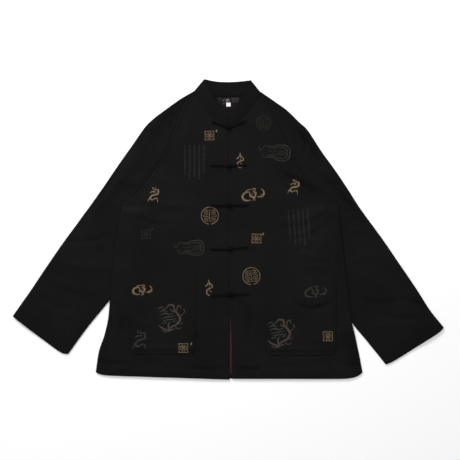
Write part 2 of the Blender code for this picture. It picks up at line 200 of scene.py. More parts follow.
def weaveGroup():
    # Plain weave with slubs: the height of the threads and how much the yarn varies.
    group, start, end = startGroup("plainWeave", {"Place": "Vector", "Threads": "Float"},
                                   {"Height": "Float", "Yarn": "Float"})
    split = group.nodes.new("ShaderNodeSeparateXYZ")
    group.links.new(start.outputs["Place"], split.inputs[0])
    turns = mathNode(group, "MULTIPLY", start.outputs["Threads"], math.pi)
    across = mathNode(group, "SINE", mathNode(group, "MULTIPLY", split.outputs["X"], turns))
    along = mathNode(group, "SINE", mathNode(group, "MULTIPLY", split.outputs["Y"], turns))
    over = mathNode(group, "MULTIPLY", across, along)
    slubs = []
    for stretch in ((1, 14, 1), (14, 1, 1)):
        scale = nodeAt(group, "ShaderNodeVectorMath", operation="MULTIPLY")
        scale.inputs[1].default_value = stretch
        group.links.new(start.outputs["Place"], scale.inputs[0])
        noise = nodeAt(group, "ShaderNodeTexNoise", Scale=42.0, Detail=3.0, Roughness=0.6)
        group.links.new(scale.outputs[0], noise.inputs["Vector"])
        slubs.append(noise.outputs["Fac"])
    yarn = mathNode(group, "MULTIPLY", mathNode(group, "ADD", slubs[0], slubs[1]), 0.5)
    height = mathNode(group, "ADD", mathNode(group, "MULTIPLY", over, 0.5), yarn)
    group.links.new(height, end.inputs["Height"])
    group.links.new(yarn, end.inputs["Yarn"])
    return group


def patchGroup():
    # Slow changes of tone over cloth, from wear and from how the pile lies.
    group, start, end = startGroup("slowTone", {"Place": "Vector"}, {"Tone": "Float"})
    noise = nodeAt(group, "ShaderNodeTexNoise", Scale=7.0, Detail=4.0, Roughness=0.55)
    group.links.new(start.outputs["Place"], noise.inputs["Vector"])
    group.links.new(noise.outputs["Fac"], end.inputs["Tone"])
    return group


weave = weaveGroup()
slowTone = patchGroup()


def startMaterial(name, roughness, specular):
    made = bpy.data.materials.new(name)
    made.use_nodes = True
    tree = made.node_tree
    shader = tree.nodes["Principled BSDF"]
    shader.inputs["Roughness"].default_value = roughness
    shader.inputs["Specular IOR Level"].default_value = specular
    return made, tree, shader


def groupAt(tree, group, place, **settings):
    made = nodeAt(tree, "ShaderNodeGroup", node_tree=group, **settings)
    tree.links.new(place, made.inputs["Place"])
    return made


def rampOf(tree, source, *stops):
    # The colour at a value, between two stops of place and colour.
    ramp = tree.nodes.new("ShaderNodeValToRGB")
    for element, (place, colour) in zip(ramp.color_ramp.elements, stops):
        element.position = place
        element.color = (*colour, 1)
    tree.links.new(source, ramp.inputs[0])
    return ramp.outputs[0]


def addBump(tree, shader, height, strength, depth):
    bump = nodeAt(tree, "ShaderNodeBump", Strength=strength, Distance=depth * mm)
    tree.links.new(height, bump.inputs["Height"])
    tree.links.new(bump.outputs[0], shader.inputs["Normal"])


def wovenMaterial(name, dark, light, threads=1700.0, specular=0.12, roughness=0.9):
    # Cloth on its UV map, which is in metres along the grain. Painted shade, from a point attribute of the
    # mesh, darkens its colour.
    made, tree, shader = startMaterial(name, roughness, specular)
    place = nodeAt(tree, "ShaderNodeUVMap", uv_map="grain").outputs[0]
    woven = groupAt(tree, weave, place, Threads=threads)
    tone = groupAt(tree, slowTone, place)
    blend = mathNode(tree, "ADD", mathNode(tree, "MULTIPLY", woven.outputs["Yarn"], 0.55),
                     mathNode(tree, "MULTIPLY", tone.outputs["Tone"], 0.45))
    # painted shade: the colour is scaled down by the point attribute
    paintedShade = nodeAt(tree, "ShaderNodeAttribute", attribute_name="paintedShade")
    shade = nodeAt(tree, "ShaderNodeVectorMath", operation="SCALE")
    tree.links.new(rampOf(tree, blend, (0.38, dark), (0.62, light)), shade.inputs[0])
    tree.links.new(mathNode(tree, "SUBTRACT", 1.0, paintedShade.outputs["Fac"]), shade.inputs["Scale"])
    tree.links.new(shade.outputs[0], shader.inputs["Base Color"])
    addBump(tree, shader, woven.outputs["Height"], 0.5, 0.12)
    return made


def printMaterial(name, full, worn, specular=0.15):
    # Ink on cloth: it thins out a little over the weave.
    made, tree, shader = startMaterial(name, 0.75, specular)
    place = tree.nodes.new("ShaderNodeTexCoord").outputs["Object"]
    woven = groupAt(tree, weave, place, Threads=1700.0)
    noise = nodeAt(tree, "ShaderNodeTexNoise", Scale=160.0, Detail=4.0, Roughness=0.65)
    tree.links.new(place, noise.inputs["Vector"])
    ink = rampOf(tree, noise.outputs["Fac"], (0.34, worn), (0.56, full))
    tree.links.new(ink, shader.inputs["Base Color"])
    addBump(tree, shader, woven.outputs["Height"], 0.4, 0.08)
    return made


def cordMaterial(name, dark, light):
    # Bias-covered cord: fine turns along its UV map.
    made, tree, shader = startMaterial(name, 0.7, 0.06)
    wave = nodeAt(tree, "ShaderNodeTexWave", wave_type="BANDS", bands_direction="DIAGONAL",
                  Scale=320.0, Distortion=0.6)
    place = nodeAt(tree, "ShaderNodeUVMap", uv_map="grain").outputs[0]
    tree.links.new(place, wave.inputs["Vector"])
    cover = rampOf(tree, wave.outputs["Fac"], (0.0, dark), (1.0, light))
    tree.links.new(cover, shader.inputs["Base Color"])
    addBump(tree, shader, wave.outputs["Fac"], 0.7, 0.25)
    return made


blackCloth = wovenMaterial("blackCloth", (0.0024, 0.0024, 0.0025), (0.0052, 0.0051, 0.0051),
                           specular=0.07, roughness=0.7)
redCloth = wovenMaterial("redCloth", (0.036, 0.0085, 0.0102), (0.054, 0.013, 0.0155), specular=0.1)
labelCloth = wovenMaterial("labelCloth", (0.0042, 0.0040, 0.0042), (0.0078, 0.0074, 0.0078),
                           threads=3600.0, specular=0.07, roughness=0.7)
tabCloth = wovenMaterial("tabCloth", (0.62, 0.62, 0.6), (0.78, 0.78, 0.76), threads=3000.0, specular=0.3)
frogCloth = cordMaterial("frogCloth", (0.0012, 0.0012, 0.0014), (0.0032, 0.0032, 0.0034))
blackThread = cordMaterial("blackThread", (0.002, 0.002, 0.0022), (0.006, 0.006, 0.0062))
labelPrint = printMaterial("labelPrint", (0.125, 0.125, 0.13), (0.06, 0.06, 0.064))
labelBrown = printMaterial("labelBrown", (0.031, 0.0215, 0.0195), (0.017, 0.0125, 0.0118))

pieces = {}


def meshFrom(name, shape, material):
    mesh = bpy.data.meshes.new(name)
    shape.to_mesh(mesh)
    shape.free()
    mesh.materials.append(material)
    return mesh


def finishPiece(made, slotName, *nodes):
    bpy.context.scene.collection.objects.link(made)
    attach(made, "root")
    if nodes:
        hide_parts(*nodes)
    pieces[made.name] = made
    return made


def layCloth(name, places, material, wall, grain=None, rimWidth=0.35, paintedShade=None):
    # A grid laid to its places (rows by columns by xyz, in millimetres), then given its wall.
    # Grain is where each place was on the flat cloth, and the painted shade how much darker each place is.
    grain = places[..., :2] if grain is None else grain
    rows, columns = places.shape[:2]
    shape = bmesh.new()
    bmesh.ops.create_grid(shape, x_segments=columns - 1, y_segments=rows - 1, size=0.5)
    uvs = shape.loops.layers.uv.new("grain")
    spots = {}
    for vert in shape.verts:
        spot = (round((vert.co.y + 0.5) * (rows - 1)), round((vert.co.x + 0.5) * (columns - 1)))
        spots[vert.index] = spot
        x, y, z = places[spot]
        vert.co = (x * mm, (y + cloth["shift"]) * mm, z * mm)
    for face in shape.faces:
        for loop in face.loops:
            loop[uvs].uv = grain[spots[loop.vert.index]] * mm
    bmesh.ops.recalc_face_normals(shape, faces=shape.faces)
    mesh = meshFrom(name, shape, material)
    # the painted shade goes on the points, for the material to darken the colour
    if paintedShade is not None:
        tone = mesh.attributes.new("paintedShade", "FLOAT", "POINT")
        tone.data.foreach_set("value", [float(paintedShade[spots[index]]) for index in range(rows * columns)])
    mesh.shade_smooth()
    made = bpy.data.objects.new(name, mesh)
    ply = made.modifiers.new("wall", "SOLIDIFY")
    ply.thickness = wall * mm
    ply.offset = 0.0
    ply.use_even_offset = True
    rim = made.modifiers.new("rim", "BEVEL")
    rim.width = rimWidth * mm
    rim.segments = 2
    rim.limit_method = "ANGLE"
    rim.angle_limit = math.radians(60)
    return made


def clothArea(places):
    # The cloth's own area in square metres, along its middle.
    a = places[1:, 1:] - places[:-1, :-1]
    b = places[1:, :-1] - places[:-1, 1:]
    return float(np.linalg.norm(np.cross(a, b), axis=2).sum() / 2) * mm * mm


def creaseShape(crease, x, y):
    # How much of a crease each place has, and how far it lies to the crease's left in widths.
    t = np.linspace(0, 1, 25)[:, None]
    a, b, c = (np.array(crease[key], float) for key in ("start", "middle", "end"))
    line = a * (1 - t) ** 2 + 2 * (2 * b - (a + c) / 2) * t * (1 - t) + c * t * t
    dx = x[..., None] - line[:, 0]
    dy = y[..., None] - line[:, 1]
    away2 = dx * dx + dy * dy
    nearest = away2.argmin(axis=-1)
    tangent = np.gradient(line, axis=0)
    tangent /= np.linalg.norm(tangent, axis=1)[:, None]
    normal = np.stack([-tangent[:, 1], tangent[:, 0]], axis=1)[nearest]
    nearX = np.take_along_axis(dx, nearest[..., None], -1)[..., 0]
    nearY = np.take_along_axis(dy, nearest[..., None], -1)[..., 0]
    lean = (nearX * normal[..., 0] + nearY * normal[..., 1]) / crease["width"]
    # past its ends a crease fades as it does across
    away = np.sqrt(away2.min(axis=-1)) / crease["width"]
    fade = np.sin(np.pi * (0.06 + 0.88 * nearest / 24.0)) ** 0.6
    return fade * np.exp(-away ** 2), lean


def creaseHeight(creases, x, y):
    # Soft ridges, troughs and rolls along bent lines, in millimetres.
    total = np.zeros_like(x)
    for crease in creases:
        swell, lean = creaseShape(crease, x, y)
        total += crease["height"] * swell * (lean if crease.get("kind") == "roll" else 1.0)
    return total


def paintedShadeFrom(creases, shadeBands, x, y):
    # Painted shade: darker along the sharp troughs of creases, and along the listed bands of shade.
    total = np.zeros_like(x)
    for crease in creases:
        if crease["height"] < 0 and crease.get("kind") != "roll":
            total -= cloth["troughShade"] * crease["height"] * creaseShape(crease, x, y)[0]
    for tone in shadeBands:
        total += tone["dark"] * creaseShape(tone, x, y)[0]
    return np.clip(total, 0.0, cloth["darkest"])


def waviness(x, y):
    return (np.sin(x / 61 + 1.3 * np.sin(y / 83)) * np.cos(y / 74 + 0.8)
            + 0.5 * np.sin((x + 1.4 * y) / 37 + 2.1) * np.cos((x - 0.6 * y) / 52))


def softFloor(height, lowest, softness):
    # A trough stops softly on the cloth below it.
    return lowest + softness * np.logaddexp(0, (height - lowest) / softness)


# Where each front's lap over its sleeve starts, is whole, holds and ends, by the y of its edge.
laps = {
    "right": {"start": 65, "full": 45, "hold": -214, "end": -270},
    "left": {"start": 72, "full": 51, "hold": -262, "end": -318},
}
lapFade = (46, 112)  # how far in from the edge the lap's lift goes
# How far each hem bows below a straight line, and how soon it does past the side seam.
hems = {"right": (8.5, 0.03), "left": (17.5, 0.045)}
hemStitch = 25.5
hemRows = (14.6, 16)  # the stations over which the rows take up the hem's bow
frontCloth = {"columns": 66, "riseOver": 46, "calmOver": 13, "waves": 0.5, "clear": 0.35, "softness": 0.3,
              "hemTurn": 0.45, "hemFade": (24, 26.5), "collarEnds": (3.9, 4.6)}
backCloth = {"columns": 44, "hemShort": 2.0, "waves": 0.3, "middle": 3.4, "calmSides": (34, 60),
             "calmNeck": (180, 250), "highest": 0.9}

# Lines raised (or sunk) beside an edge: how high, how far in and how wide, in millimetres.
edgeLines = {
    "hem": [(-0.5, hemStitch, 2.2)],
    "hemPuckers": [(0.42, 19, 11.0)],
    "frontEdge": [(-0.5, 9.0, 1.8), (-1.0, 0.0, 1.7)],
    "neckEdge": [(-0.6, 0.0, 4.0)],
    "rightSeam": [(1.1, 5.5, 3.2), (-0.5, 0.0, 2.2)],
    "leftSeam": [(0.35, 6.0, 3.0), (-0.8, 0.0, 2.6)],
    "raglanSeam": [(-0.7, 0.0, 3.0)],
    "cuff": [(-0.5, 22.5, 2.2)],
    "pocketFoot": [(1.7, 15, 5.5)],
    "pocketStitch": [(-0.45, 8, 2.0)],
    "pocketHem": [(-0.4, 0, 2.0)],
}


def beside(name, distance):
    return sum(high * np.exp(-((distance - inward) / wide) ** 2) for high, inward, wide in edgeLines[name])


creaseColumns = ("start", "middle", "end", "width", "height", "kind")
shadeColumns = ("start", "middle", "end", "width", "dark")
frontCreases = {
    "right": named(creaseColumns, [
        ((-230, 88), (-165, 66), (-85, 62), 11, 2.25),
        ((-240, 40), (-190, 22), (-140, 24), 9.3, 2.4, "roll"),
        ((-206, 150), (-160, 128), (-110, 122), 10.2, 1.35),
        ((-286, 20), (-262, -60), (-268, -150), 11.9, 1.95),
        ((-280, -150), (-240, -232), (-182, -234), 10.2, -2.4, "roll"),
        ((-70, -262), (-62, -320), (-80, -380), 12.8, 1.2),
        ((-150, -60), (-120, -140), (-128, -250), 15.3, 0.9),
        ((-30, 240), (-60, 190), (-64, 120), 11.9, 1.05),
        ((-104, -364), (-60, -369), (-16, -368), 4.2, -2.55),
        ((-342, -346), (-312, -351), (-276, -354), 4.2, -2.25),
        ((-250, -344), (-200, -350), (-160, -344), 7.6, -1.2),
        ((-300, -190), (-282, -236), (-296, -300), 6.8, -1.35),
    ]),
    "left": named(creaseColumns, [
        ((118, 22), (200, 30), (266, 66), 11, 2.55),
        ((150, -18), (208, -12), (262, 22), 8.5, 2.4, "roll"),
        ((186, -62), (212, -58), (246, -84), 7.6, -2.88, "roll"),
        ((210, -92), (236, -90), (262, -96), 6.8, -2.88, "roll"),
        ((182, -192), (226, -205), (274, -190), 5.5, -3.9),
        ((20, -180), (58, -226), (42, -296), 6, -2.1),
        ((6, -196), (34, -226), (28, -270), 6.8, 1.35),
        ((150, 150), (194, 124), (236, 96), 5.5, -4),
        ((36, -365), (60, -369), (86, -368), 4.2, -2.25),
        ((296, -354), (324, -353), (352, -350), 4.2, -2.4),
        ((230, -300), (262, -318), (300, -312), 7.6, -1.2),
        ((298, 40), (284, -60), (300, -170), 11.9, 1.8),
        ((60, 220), (92, 170), (96, 96), 13.6, 1.2),
        ((90, -350), (180, -356), (280, -344), 10.2, 1.92, "roll"),
    ]),
}
# Bands of painted shade on each front: along the hem and its stitching, the sides and the drag lines.
frontShadeBands = {
    "right": named(shadeColumns, [
        ((-350, -364), (-330, -340), (-316, -300), 14, 0.22),
        ((-340, -382), (-180, -388), (-20, -392), 14, 0.3),
        ((-342, -342), (-310, -347), (-278, -349), 4.5, 0.25),
        ((-100, -356), (-60, -361), (-20, -360), 4.5, 0.2),
        ((-270, -140), (-262, -190), (-270, -250), 16, 0.08),
        ((-150, 236), (-176, 190), (-206, 150), 12, 0.12),
    ]),
    "left": named(shadeColumns, [
        ((352, -372), (338, -340), (326, -290), 16, 0.55),
        ((30, -392), (180, -386), (340, -380), 13, 0.24),
        ((16, -362), (46, -366), (82, -364), 4.5, 0.4),
        ((306, -356), (330, -357), (352, -355), 5, 0.25),
        ((128, 172), (180, 128), (244, 92), 22, 0.24),
        ((160, 151), (203, 127), (244, 104), 4.5, 0.42),
        ((186, -196), (226, -205), (270, -192), 5.5, 0.25),
        ((290, 60), (292, -40), (306, -150), 11, 0.1),
    ]),
}


def lapShare(side, edgeY, distance):
    rule = laps[side]
    share = smooth(-rule["start"], -rule["full"], -edgeY)
    share = share * (1 - smooth(-rule["hold"], -rule["end"], -edgeY))
    return share * (1 - smooth(*lapFade, distance))


def hemBow(side, share):
    bow, corner = hems[side]
    return bow * (1 - share) * (1 - np.exp(-share / corner))


def hemGrip(stations):
    # How much of the hem's bow each row of cloth takes up.
    return smooth(*hemRows, stations)[:, None] ** 2


def frontPlaces(side, step=4.6):
    seam, inner = column(bodyTable, "seam", side), column(bodyTable, "inner", side)
    stations = evenStations((seam + inner) / 2, step)
    edge, inside = through(seam, stations), through(inner, stations)
    share = np.linspace(0, 1, frontCloth["columns"])
    share = share - 0.02 * np.sin(2 * np.pi * share)  # a little closer at both edges
    plan = between(edge, inside, share)
    width = np.linalg.norm(inside - edge, axis=1)[:, None]
    distance = width * share
    plan[..., 1] -= hemGrip(stations) * hemBow(side, share)
    x, y = plan[..., 0], plan[..., 1]
    height = cloth["edgeLevel"] + cloth["rise"] * smooth(0, frontCloth["riseOver"], distance)
    height += cloth["lapRise"] * lapShare(side, edge[:, 1][:, None], distance)
    calm = smooth(0, frontCloth["calmOver"], distance)  # creases die out at the sewn edge
    height += calm * (creaseHeight(frontCreases[side], x, y) + frontCloth["waves"] * waviness(x, y))
    lowest = cloth["backLevel"] + cloth["wall"] + frontCloth["clear"]
    height = softFloor(height, lowest, frontCloth["softness"])
    # the turned hem, the turned front edge and the seam allowance under the raglan and side seams
    hemUp = y - plan[-1:, :, 1]
    height += frontCloth["hemTurn"] * (1 - smooth(*frontCloth["hemFade"], hemUp)) + beside("hem", hemUp)
    fromFront = width - distance
    bodice = smooth(*frontCloth["collarEnds"], stations)[:, None]
    height += bodice * beside("frontEdge", fromFront) + (1 - bodice) * beside("neckEdge", fromFront)
    height += beside(side + "Seam", distance)
    height += calm * beside("hemPuckers", hemUp) * np.sin(x / 4.6 + 2.2 * np.sin(x / 31))
    return np.dstack([x, y, height]), paintedShadeFrom(frontCreases[side], frontShadeBands[side], x, y)


# The back's creases only rise, since it lies on the surface.
backCreases = named(creaseColumns, [
    ((-230, 96), (-170, 60), (-92, 66), 13, 0.8),
    ((-250, 10), (-190, -20), (-120, -12), 11, 0.7),
    ((150, 130), (190, 84), (250, 60), 12, 0.9),
    ((70, -40), (150, -62), (230, -50), 14, 0.6),
    ((-270, -180), (-214, -206), (-110, -196), 12, 0.7),
    ((90, -230), (120, -290), (112, -350), 13, 0.7),
    ((-80, 250), (-104, 190), (-100, 120), 14, 0.6),
    ((200, -180), (250, -220), (300, -222), 10, 0.8),
])


def backPlaces(step=7.5):
    belowArm = underarm + 1
    centre = (column(bodyTable, "innerRight") + column(bodyTable, "innerLeft")) / 2
    middle = np.vstack([column(backTable, "middle"), centre[belowArm:]])
    stations = evenStations(middle, step)
    inside = through(middle, stations)
    halves = []
    for side in sides:
        seam = np.vstack([column(backTable, "seam", side), column(bodyTable, "seam", side)[belowArm:]])
        edge = through(seam, stations)
        share = np.linspace(0, 1, backCloth["columns"])
        plan = between(edge, inside, share)
        distance = np.linalg.norm(inside - edge, axis=1)[:, None] * share
        plan[..., 1] -= hemGrip(stations) * (hemBow(side, share) - backCloth["hemShort"])
        height = cloth["backLevel"] + cloth["lapRise"] * lapShare(side, edge[:, 1][:, None], distance)
        half = np.dstack([plan, height])
        halves.append(half if side == "right" else half[:, -2::-1])
    places = np.hstack(halves)
    x, y = places[..., 0], places[..., 1]
    calm = smooth(*backCloth["calmSides"], abs(x - backCloth["middle"]))
    calm *= 1 - smooth(*backCloth["calmNeck"], y)
    creases = creaseHeight(backCreases, x, y) + backCloth["waves"] * waviness(x, y)
    places[..., 2] += calm * np.clip(creases, 0, backCloth["highest"])
    return places


backPlan = backPlaces()
backShell = layCloth("backShell", backPlan, blackCloth, cloth["wall"])
finishPiece(backShell, "black_cloth", "back")

for side in sides:
    places, paintedShade = frontPlaces(side)
    shell = layCloth(f"{side}FrontShell", places, blackCloth, cloth["wall"], paintedShade=paintedShade)
    finishPiece(shell, "black_cloth", "front_" + side)
    clothArea(places)
print("body laid")


sleeveCreases = {
    "right": named(creaseColumns, [
        ((-372, 44), (-352, -14), (-318, -60), 10.2, 2.4),
        ((-418, -30), (-356, -26), (-300, -10), 5.5, -1.7),
        ((-136, 312), (-149, 290), (-154, 264), 4.7, -2.4),
        ((-300, 148), (-330, 96), (-366, 44), 6.8, -1.35),
        ((-452, -70), (-400, -96), (-330, -96), 11, 2.1),
        ((-474, -120), (-420, -150), (-356, -160), 11.9, 1.65),
        ((-512, -176), (-470, -206), (-412, -214), 10.2, -2.16, "roll"),
        ((-214, 256), (-196, 236), (-186, 200), 9.3, -3.6, "roll"),
        ((-300, 130), (-276, 132), (-240, 120), 10.2, 1.5),
        ((-330, 100), (-300, 66), (-286, 30), 10.2, 1.8),
    ]),
    "left": named(creaseColumns, [
        ((350, -176), (410, -189), (478, -180), 5.1, -2.85),
        ((478, -190), (500, -192), (524, -206), 6, -2.85),
        ((400, -214), (450, -232), (510, -228), 6.8, -1.5),
        ((184, 264), (214, 228), (240, 184), 4.7, -2.7),
        ((300, 96), (330, 60), (362, 16), 6, -1.5),
        ((384, -264), (440, -250), (520, -262), 11.9, 1.8),
        ((320, -80), (370, -70), (430, -74), 11, 1.65),
        ((300, 20), (340, 2), (386, -10), 10.2, 1.95),
        ((186, 252), (200, 236), (202, 212), 7.6, -4.56, "roll"),
        ((236, 150), (262, 146), (290, 118), 9.3, 1.65),
        ((306, 70), (330, 40), (352, 20), 8.5, 1.5),
    ]),
}
# Bands of painted shade on each sleeve: along the raglan, over the arm, in creases and towards the cuff.
sleeveShadeBands = {
    "right": named(shadeColumns, [
        ((-120, 336), (-170, 300), (-224, 236), 18, 0.28),
        ((-440, -100), (-470, -150), (-520, -190), 34, 0.18),
        ((-424, -318), (-492, -268), (-560, -222), 26, 0.32),
        ((-360, -236), (-390, -280), (-416, -316), 24, 0.36),
    ]),
    "left": named(shadeColumns, [
        ((130, 322), (186, 262), (250, 170), 22, 0.3),
        ((190, 278), (222, 234), (244, 185), 4.5, 0.25),
        ((270, 150), (310, 84), (360, 10), 26, 0.3),
        ((386, -160), (420, -168), (458, -164), 4.5, 0.2),
        ((496, -176), (509, -186), (520, -198), 5.5, 0.25),
        ((420, -346), (492, -296), (560, -252), 24, 0.4),
        ((490, -160), (520, -196), (556, -240), 22, 0.18),
        ((360, -280), (384, -316), (410, -346), 20, 0.18),
    ]),
}
cuffs = {"right": (10.5, 2.5), "left": (4.5, 8.5)}  # how far each bows, at its seam and at its fold
seamGap = {"front": 0.75, "back": 0.05}  # from the body's edge to the sleeve's
foldRadius = 1.55
sleeveCloth = {"columns": 46, "crown": 2.6, "waves": 0.5, "clear": 0.1, "softness": 0.2, "hemTurn": 0.4,
               "hemFade": (21, 24), "calmUnderarm": (26, 60), "hiddenShare": 0.4, "hiddenHighest": 0.8}


def sleeveSeam(side, layer, stations):
    # The sleeve's inner edge: the raglan seam, then the underarm seam.
    seam = column(bodyTable if layer == "front" else backTable, "seam", side)[:underarm + 1]
    high = np.minimum(stations, underarm)
    step = through(seam, np.minimum(high + 0.2, underarm)) - through(seam, np.maximum(high - 0.2, 0))
    step /= np.linalg.norm(step, axis=1)[:, None]
    away = np.stack([step[:, 1], -step[:, 0]], axis=1)
    if (away[:, 0].mean() < 0) != (side == "right"):
        away = -away
    raglan = through(seam, high) + seamGap[layer] * away
    low = through(column(underarmTable, "inner", side), np.maximum(stations - underarm, 0))
    return np.where((stations >= underarm)[:, None], low, raglan)


def sleeveFront(side, stations, share, length, plan):
    # The upper layer's level and painted shade, from its seam to where it turns over the arm.
    x, y = plan[..., 0], plan[..., 1]
    distance = length * share
    full = smooth(1, 6, stations) * (1 - 0.35 * smooth(12, 16, stations))
    seamLevel = cloth["edgeLevel"] + 0.1
    foldLevel = cloth["sleeveLevel"] + 2 * foldRadius
    height = seamLevel + (foldLevel - seamLevel) * smooth(0.5, 1.0, share)[None]
    crown = sleeveCloth["crown"] * np.sin(np.pi * smooth(0.2, 1.22, share))[None] ** 2
    height = height + full[:, None] * crown
    below = smooth(underarm, underarm + 1, stations)[:, None]
    calm = smooth(0.0, 12, distance) * (1 - 0.7 * smooth(0.9, 1.0, share)[None])
    calm = calm * (1 - below * (1 - smooth(*sleeveCloth["calmUnderarm"], distance)))
    waves = sleeveCloth["waves"] * waviness(x + 40, y - 25)
    height += calm * (creaseHeight(sleeveCreases[side], x, y) + waves)
    lowest = cloth["sleeveLevel"] + cloth["wall"] + sleeveCloth["clear"]
    height = softFloor(height, lowest, sleeveCloth["softness"])
    height += (1 - below) * beside("raglanSeam", distance)
    fromCuff = np.linalg.norm(plan - plan[-1:], axis=2)
    height += beside("cuff", fromCuff)
    height += sleeveCloth["hemTurn"] * (1 - smooth(*sleeveCloth["hemFade"], fromCuff))
    return height, paintedShadeFrom(sleeveCreases[side], sleeveShadeBands[side], x, y)


def sleevePlaces(side, step=5.0):
    fold = column(sleeveTable, "fold", side)
    stations = evenStations(fold, step)
    outer = through(fold, stations)
    share = np.linspace(0, 1, sleeveCloth["columns"])
    reach = outer - sleeveSeam(side, "front", stations)
    length = np.linalg.norm(reach, axis=1)[:, None]
    reach = reach / length
    end = outer - reach * (foldRadius + cloth["wall"] / 2)
    down = np.stack([-reach[:, 1], reach[:, 0]], axis=1)
    down = np.where(down[:, 1:] > 0, -down, down)
    innerBow, outerBow = cuffs[side]
    bow = (innerBow + (outerBow - innerBow) * share) * smooth(13, 16, stations)[:, None]
    bow = bow * (1 - np.exp(-share / 0.06)) * (1 - np.exp(-(1.02 - share) / 0.04))
    plans = {}
    for layer in seamGap:
        inner = sleeveSeam(side, layer, stations)
        plans[layer] = between(inner, end, share) + down[:, None] * bow[..., None]
    height, paintedShade = sleeveFront(side, stations, share, length, plans["front"])
    # half a turn over the top of the arm
    angles = np.radians(np.arange(80, -81, -20))
    turn = end[:, None] + reach[:, None] * (foldRadius * np.cos(angles))[None, :, None]
    turn += (down * bow[:, -1:])[:, None]
    turnLevel = np.broadcast_to(cloth["sleeveLevel"] + foldRadius * (1 + np.sin(angles)), turn.shape[:2])
    # the same creases show faintly on the hidden side, where they only rise
    calm = smooth(4, 20, length * share) * (1 - smooth(0.8, 0.97, share))
    x, y = plans["back"][..., 0], plans["back"][..., 1]
    creases = sleeveCloth["hiddenShare"] * creaseHeight(sleeveCreases[side], x, y)
    hidden = cloth["sleeveLevel"] + calm * np.clip(creases, 0, sleeveCloth["hiddenHighest"])
    places = np.hstack([np.dstack([plans["front"], height]), np.dstack([turn, turnLevel]),
                        np.dstack([plans["back"], hidden])[:, ::-1]])
    places[0, :, :2] += 0.6 * (places[0] - places[1])[:, :2]  # its end runs under the collar
    steps = np.linalg.norm(np.diff(places, axis=1), axis=2)
    across = np.concatenate([np.zeros((len(stations), 1)), np.cumsum(steps, axis=1)], axis=1)
    across -= across[:, [share.size + len(angles) // 2]]
    grain = np.dstack([across, np.broadcast_to(runAlong(outer)[:, None], across.shape)])
    # the turn and the back layer take the painted shade of the fold's edge
    rest = np.repeat(paintedShade[:, -1:], places.shape[1] - paintedShade.shape[1], axis=1)
    return places, grain, np.hstack([paintedShade, rest])


for side in sides:
    places, grain, paintedShade = sleevePlaces(side)
    shell = layCloth(f"{side}SleeveShell", places, blackCloth, cloth["wall"], grain, paintedShade=paintedShade)
    finishPiece(shell, "black_cloth", "sleeve_" + side)
    clothArea(places)
print("sleeves laid")

# two of its values set the painted shade of its back half and of its top edge
collar = {"wall": 1.6, "rim": 0.6, "height": 37.0, "baseDrop": 0.35, "frontPuff": 0.9, "backPuff": 0.25,
          "frontLap": 2.4, "shoulderLap": 1.8, "backLap": 3.2, "backRise": 1.35, "insideShade": 0.38,
          "topEdgeShade": 0.1, "last": 10}


def collarLines(side, stations):
    # The collar's base and top; the left half lies a little narrower and lower than the right.
    low, high = (through(column(collarTable, name), stations) for name in collarTable["columns"])
    if side == "left":
        drop = 2.8 * smooth(3, 5.5, stations) * (1 - smooth(6.5, 9, stations))
        narrow = 1 - 0.04 * smooth(1, 5, stations) * (1 - smooth(7, 10, stations))
        for line in (low, high):
            line[:, 0] *= -narrow
            line[:, 1] -= drop
    return low, high


def collarPlaces():
    stations = np.linspace(0, collar["last"], 86)
    share = np.linspace(0, 1, 15)
    halves = []
    for side in sides:
        low, high = collarLines(side, stations)
        front = 1 - smooth(5.0, 6.8, stations)
        # the base laps over the neckline: outside in front, inside at the back
        outward = (low - high)[:, :2] / np.linalg.norm((low - high)[:, :2], axis=1)[:, None]
        back = smooth(7.0, 8.2, stations)
        lap = collar["frontLap"] * smooth(0, 0.4, stations) * front + collar["backLap"] * back
        lap += collar["shoulderLap"] * np.exp(-((stations - 5.4) / 0.8) ** 2)
        low[:, :2] += outward * lap[:, None]
        low[:, 2] += collar["backRise"] * (1 - front) * back - collar["baseDrop"] * front
        half = between(low, high, share)
        puff = collar["frontPuff"] * front + collar["backPuff"] * (1 - front)
        half[..., 2] += puff[:, None] * np.sin(np.pi * share)[None]
        halves.append(half if side == "right" else half[-2::-1])
    places = np.vstack(halves)
    along = runAlong(places[:, 7])[:, None]
    grain = np.dstack([np.broadcast_to(along, places.shape[:2]),
                       np.broadcast_to(share * collar["height"], places.shape[:2])])
    row = np.arange(len(places))
    fromFront = np.minimum(row, row[::-1]) * collar["last"] / (len(stations) - 1)
    # painted shade: darker over the collar's back half, inside the neck, and towards its top edge
    paintedShade = collar["insideShade"] * smooth(4.0, 7.0, fromFront)[:, None]
    return places, grain, paintedShade + collar["topEdgeShade"] * smooth(0.4, 1.0, share)


places, grain, paintedShade = collarPlaces()
collarShell = layCloth("collarShell", places, blackCloth, collar["wall"], grain, collar["rim"], paintedShade)
collarShell.modifiers["wall"].use_even_offset = False  # it doubles over sharply at its folds
finishPiece(collarShell, "black_cloth", "collar")
clothArea(places)
print("collar laid")


def shownSurface(made):
    # The piece as shown, for laying things on it.
    return BVHTree.FromObject(made, bpy.context.evaluated_depsgraph_get())


surfaces = [shownSurface(pieces[name]) for name in ("rightFrontShell", "leftFrontShell")]


def heightAt(x, y):
    # The highest cloth under a point of the plan, in millimetres.
    start = Vector((x * mm, (y + cloth["shift"]) * mm, 0.1))
    found = [surface.ray_cast(start, Vector((0, 0, -1)))[0] for surface in surfaces]
    levels = [hit.z / mm for hit in found if hit is not None]
    return max(levels) if levels else cloth["bare"]


pockets = {
    "right": {"left": -260, "right": -85, "top": -116, "bottom": -328, "corner": 16},
    "left": {"left": 101, "right": 286, "top": -117, "bottom": -331, "corner": 16},
}
pocket = {"hem": 22, "wall": 1.0, "ply": 0.6, "fullness": 0.6, "hemTurn": 0.35}


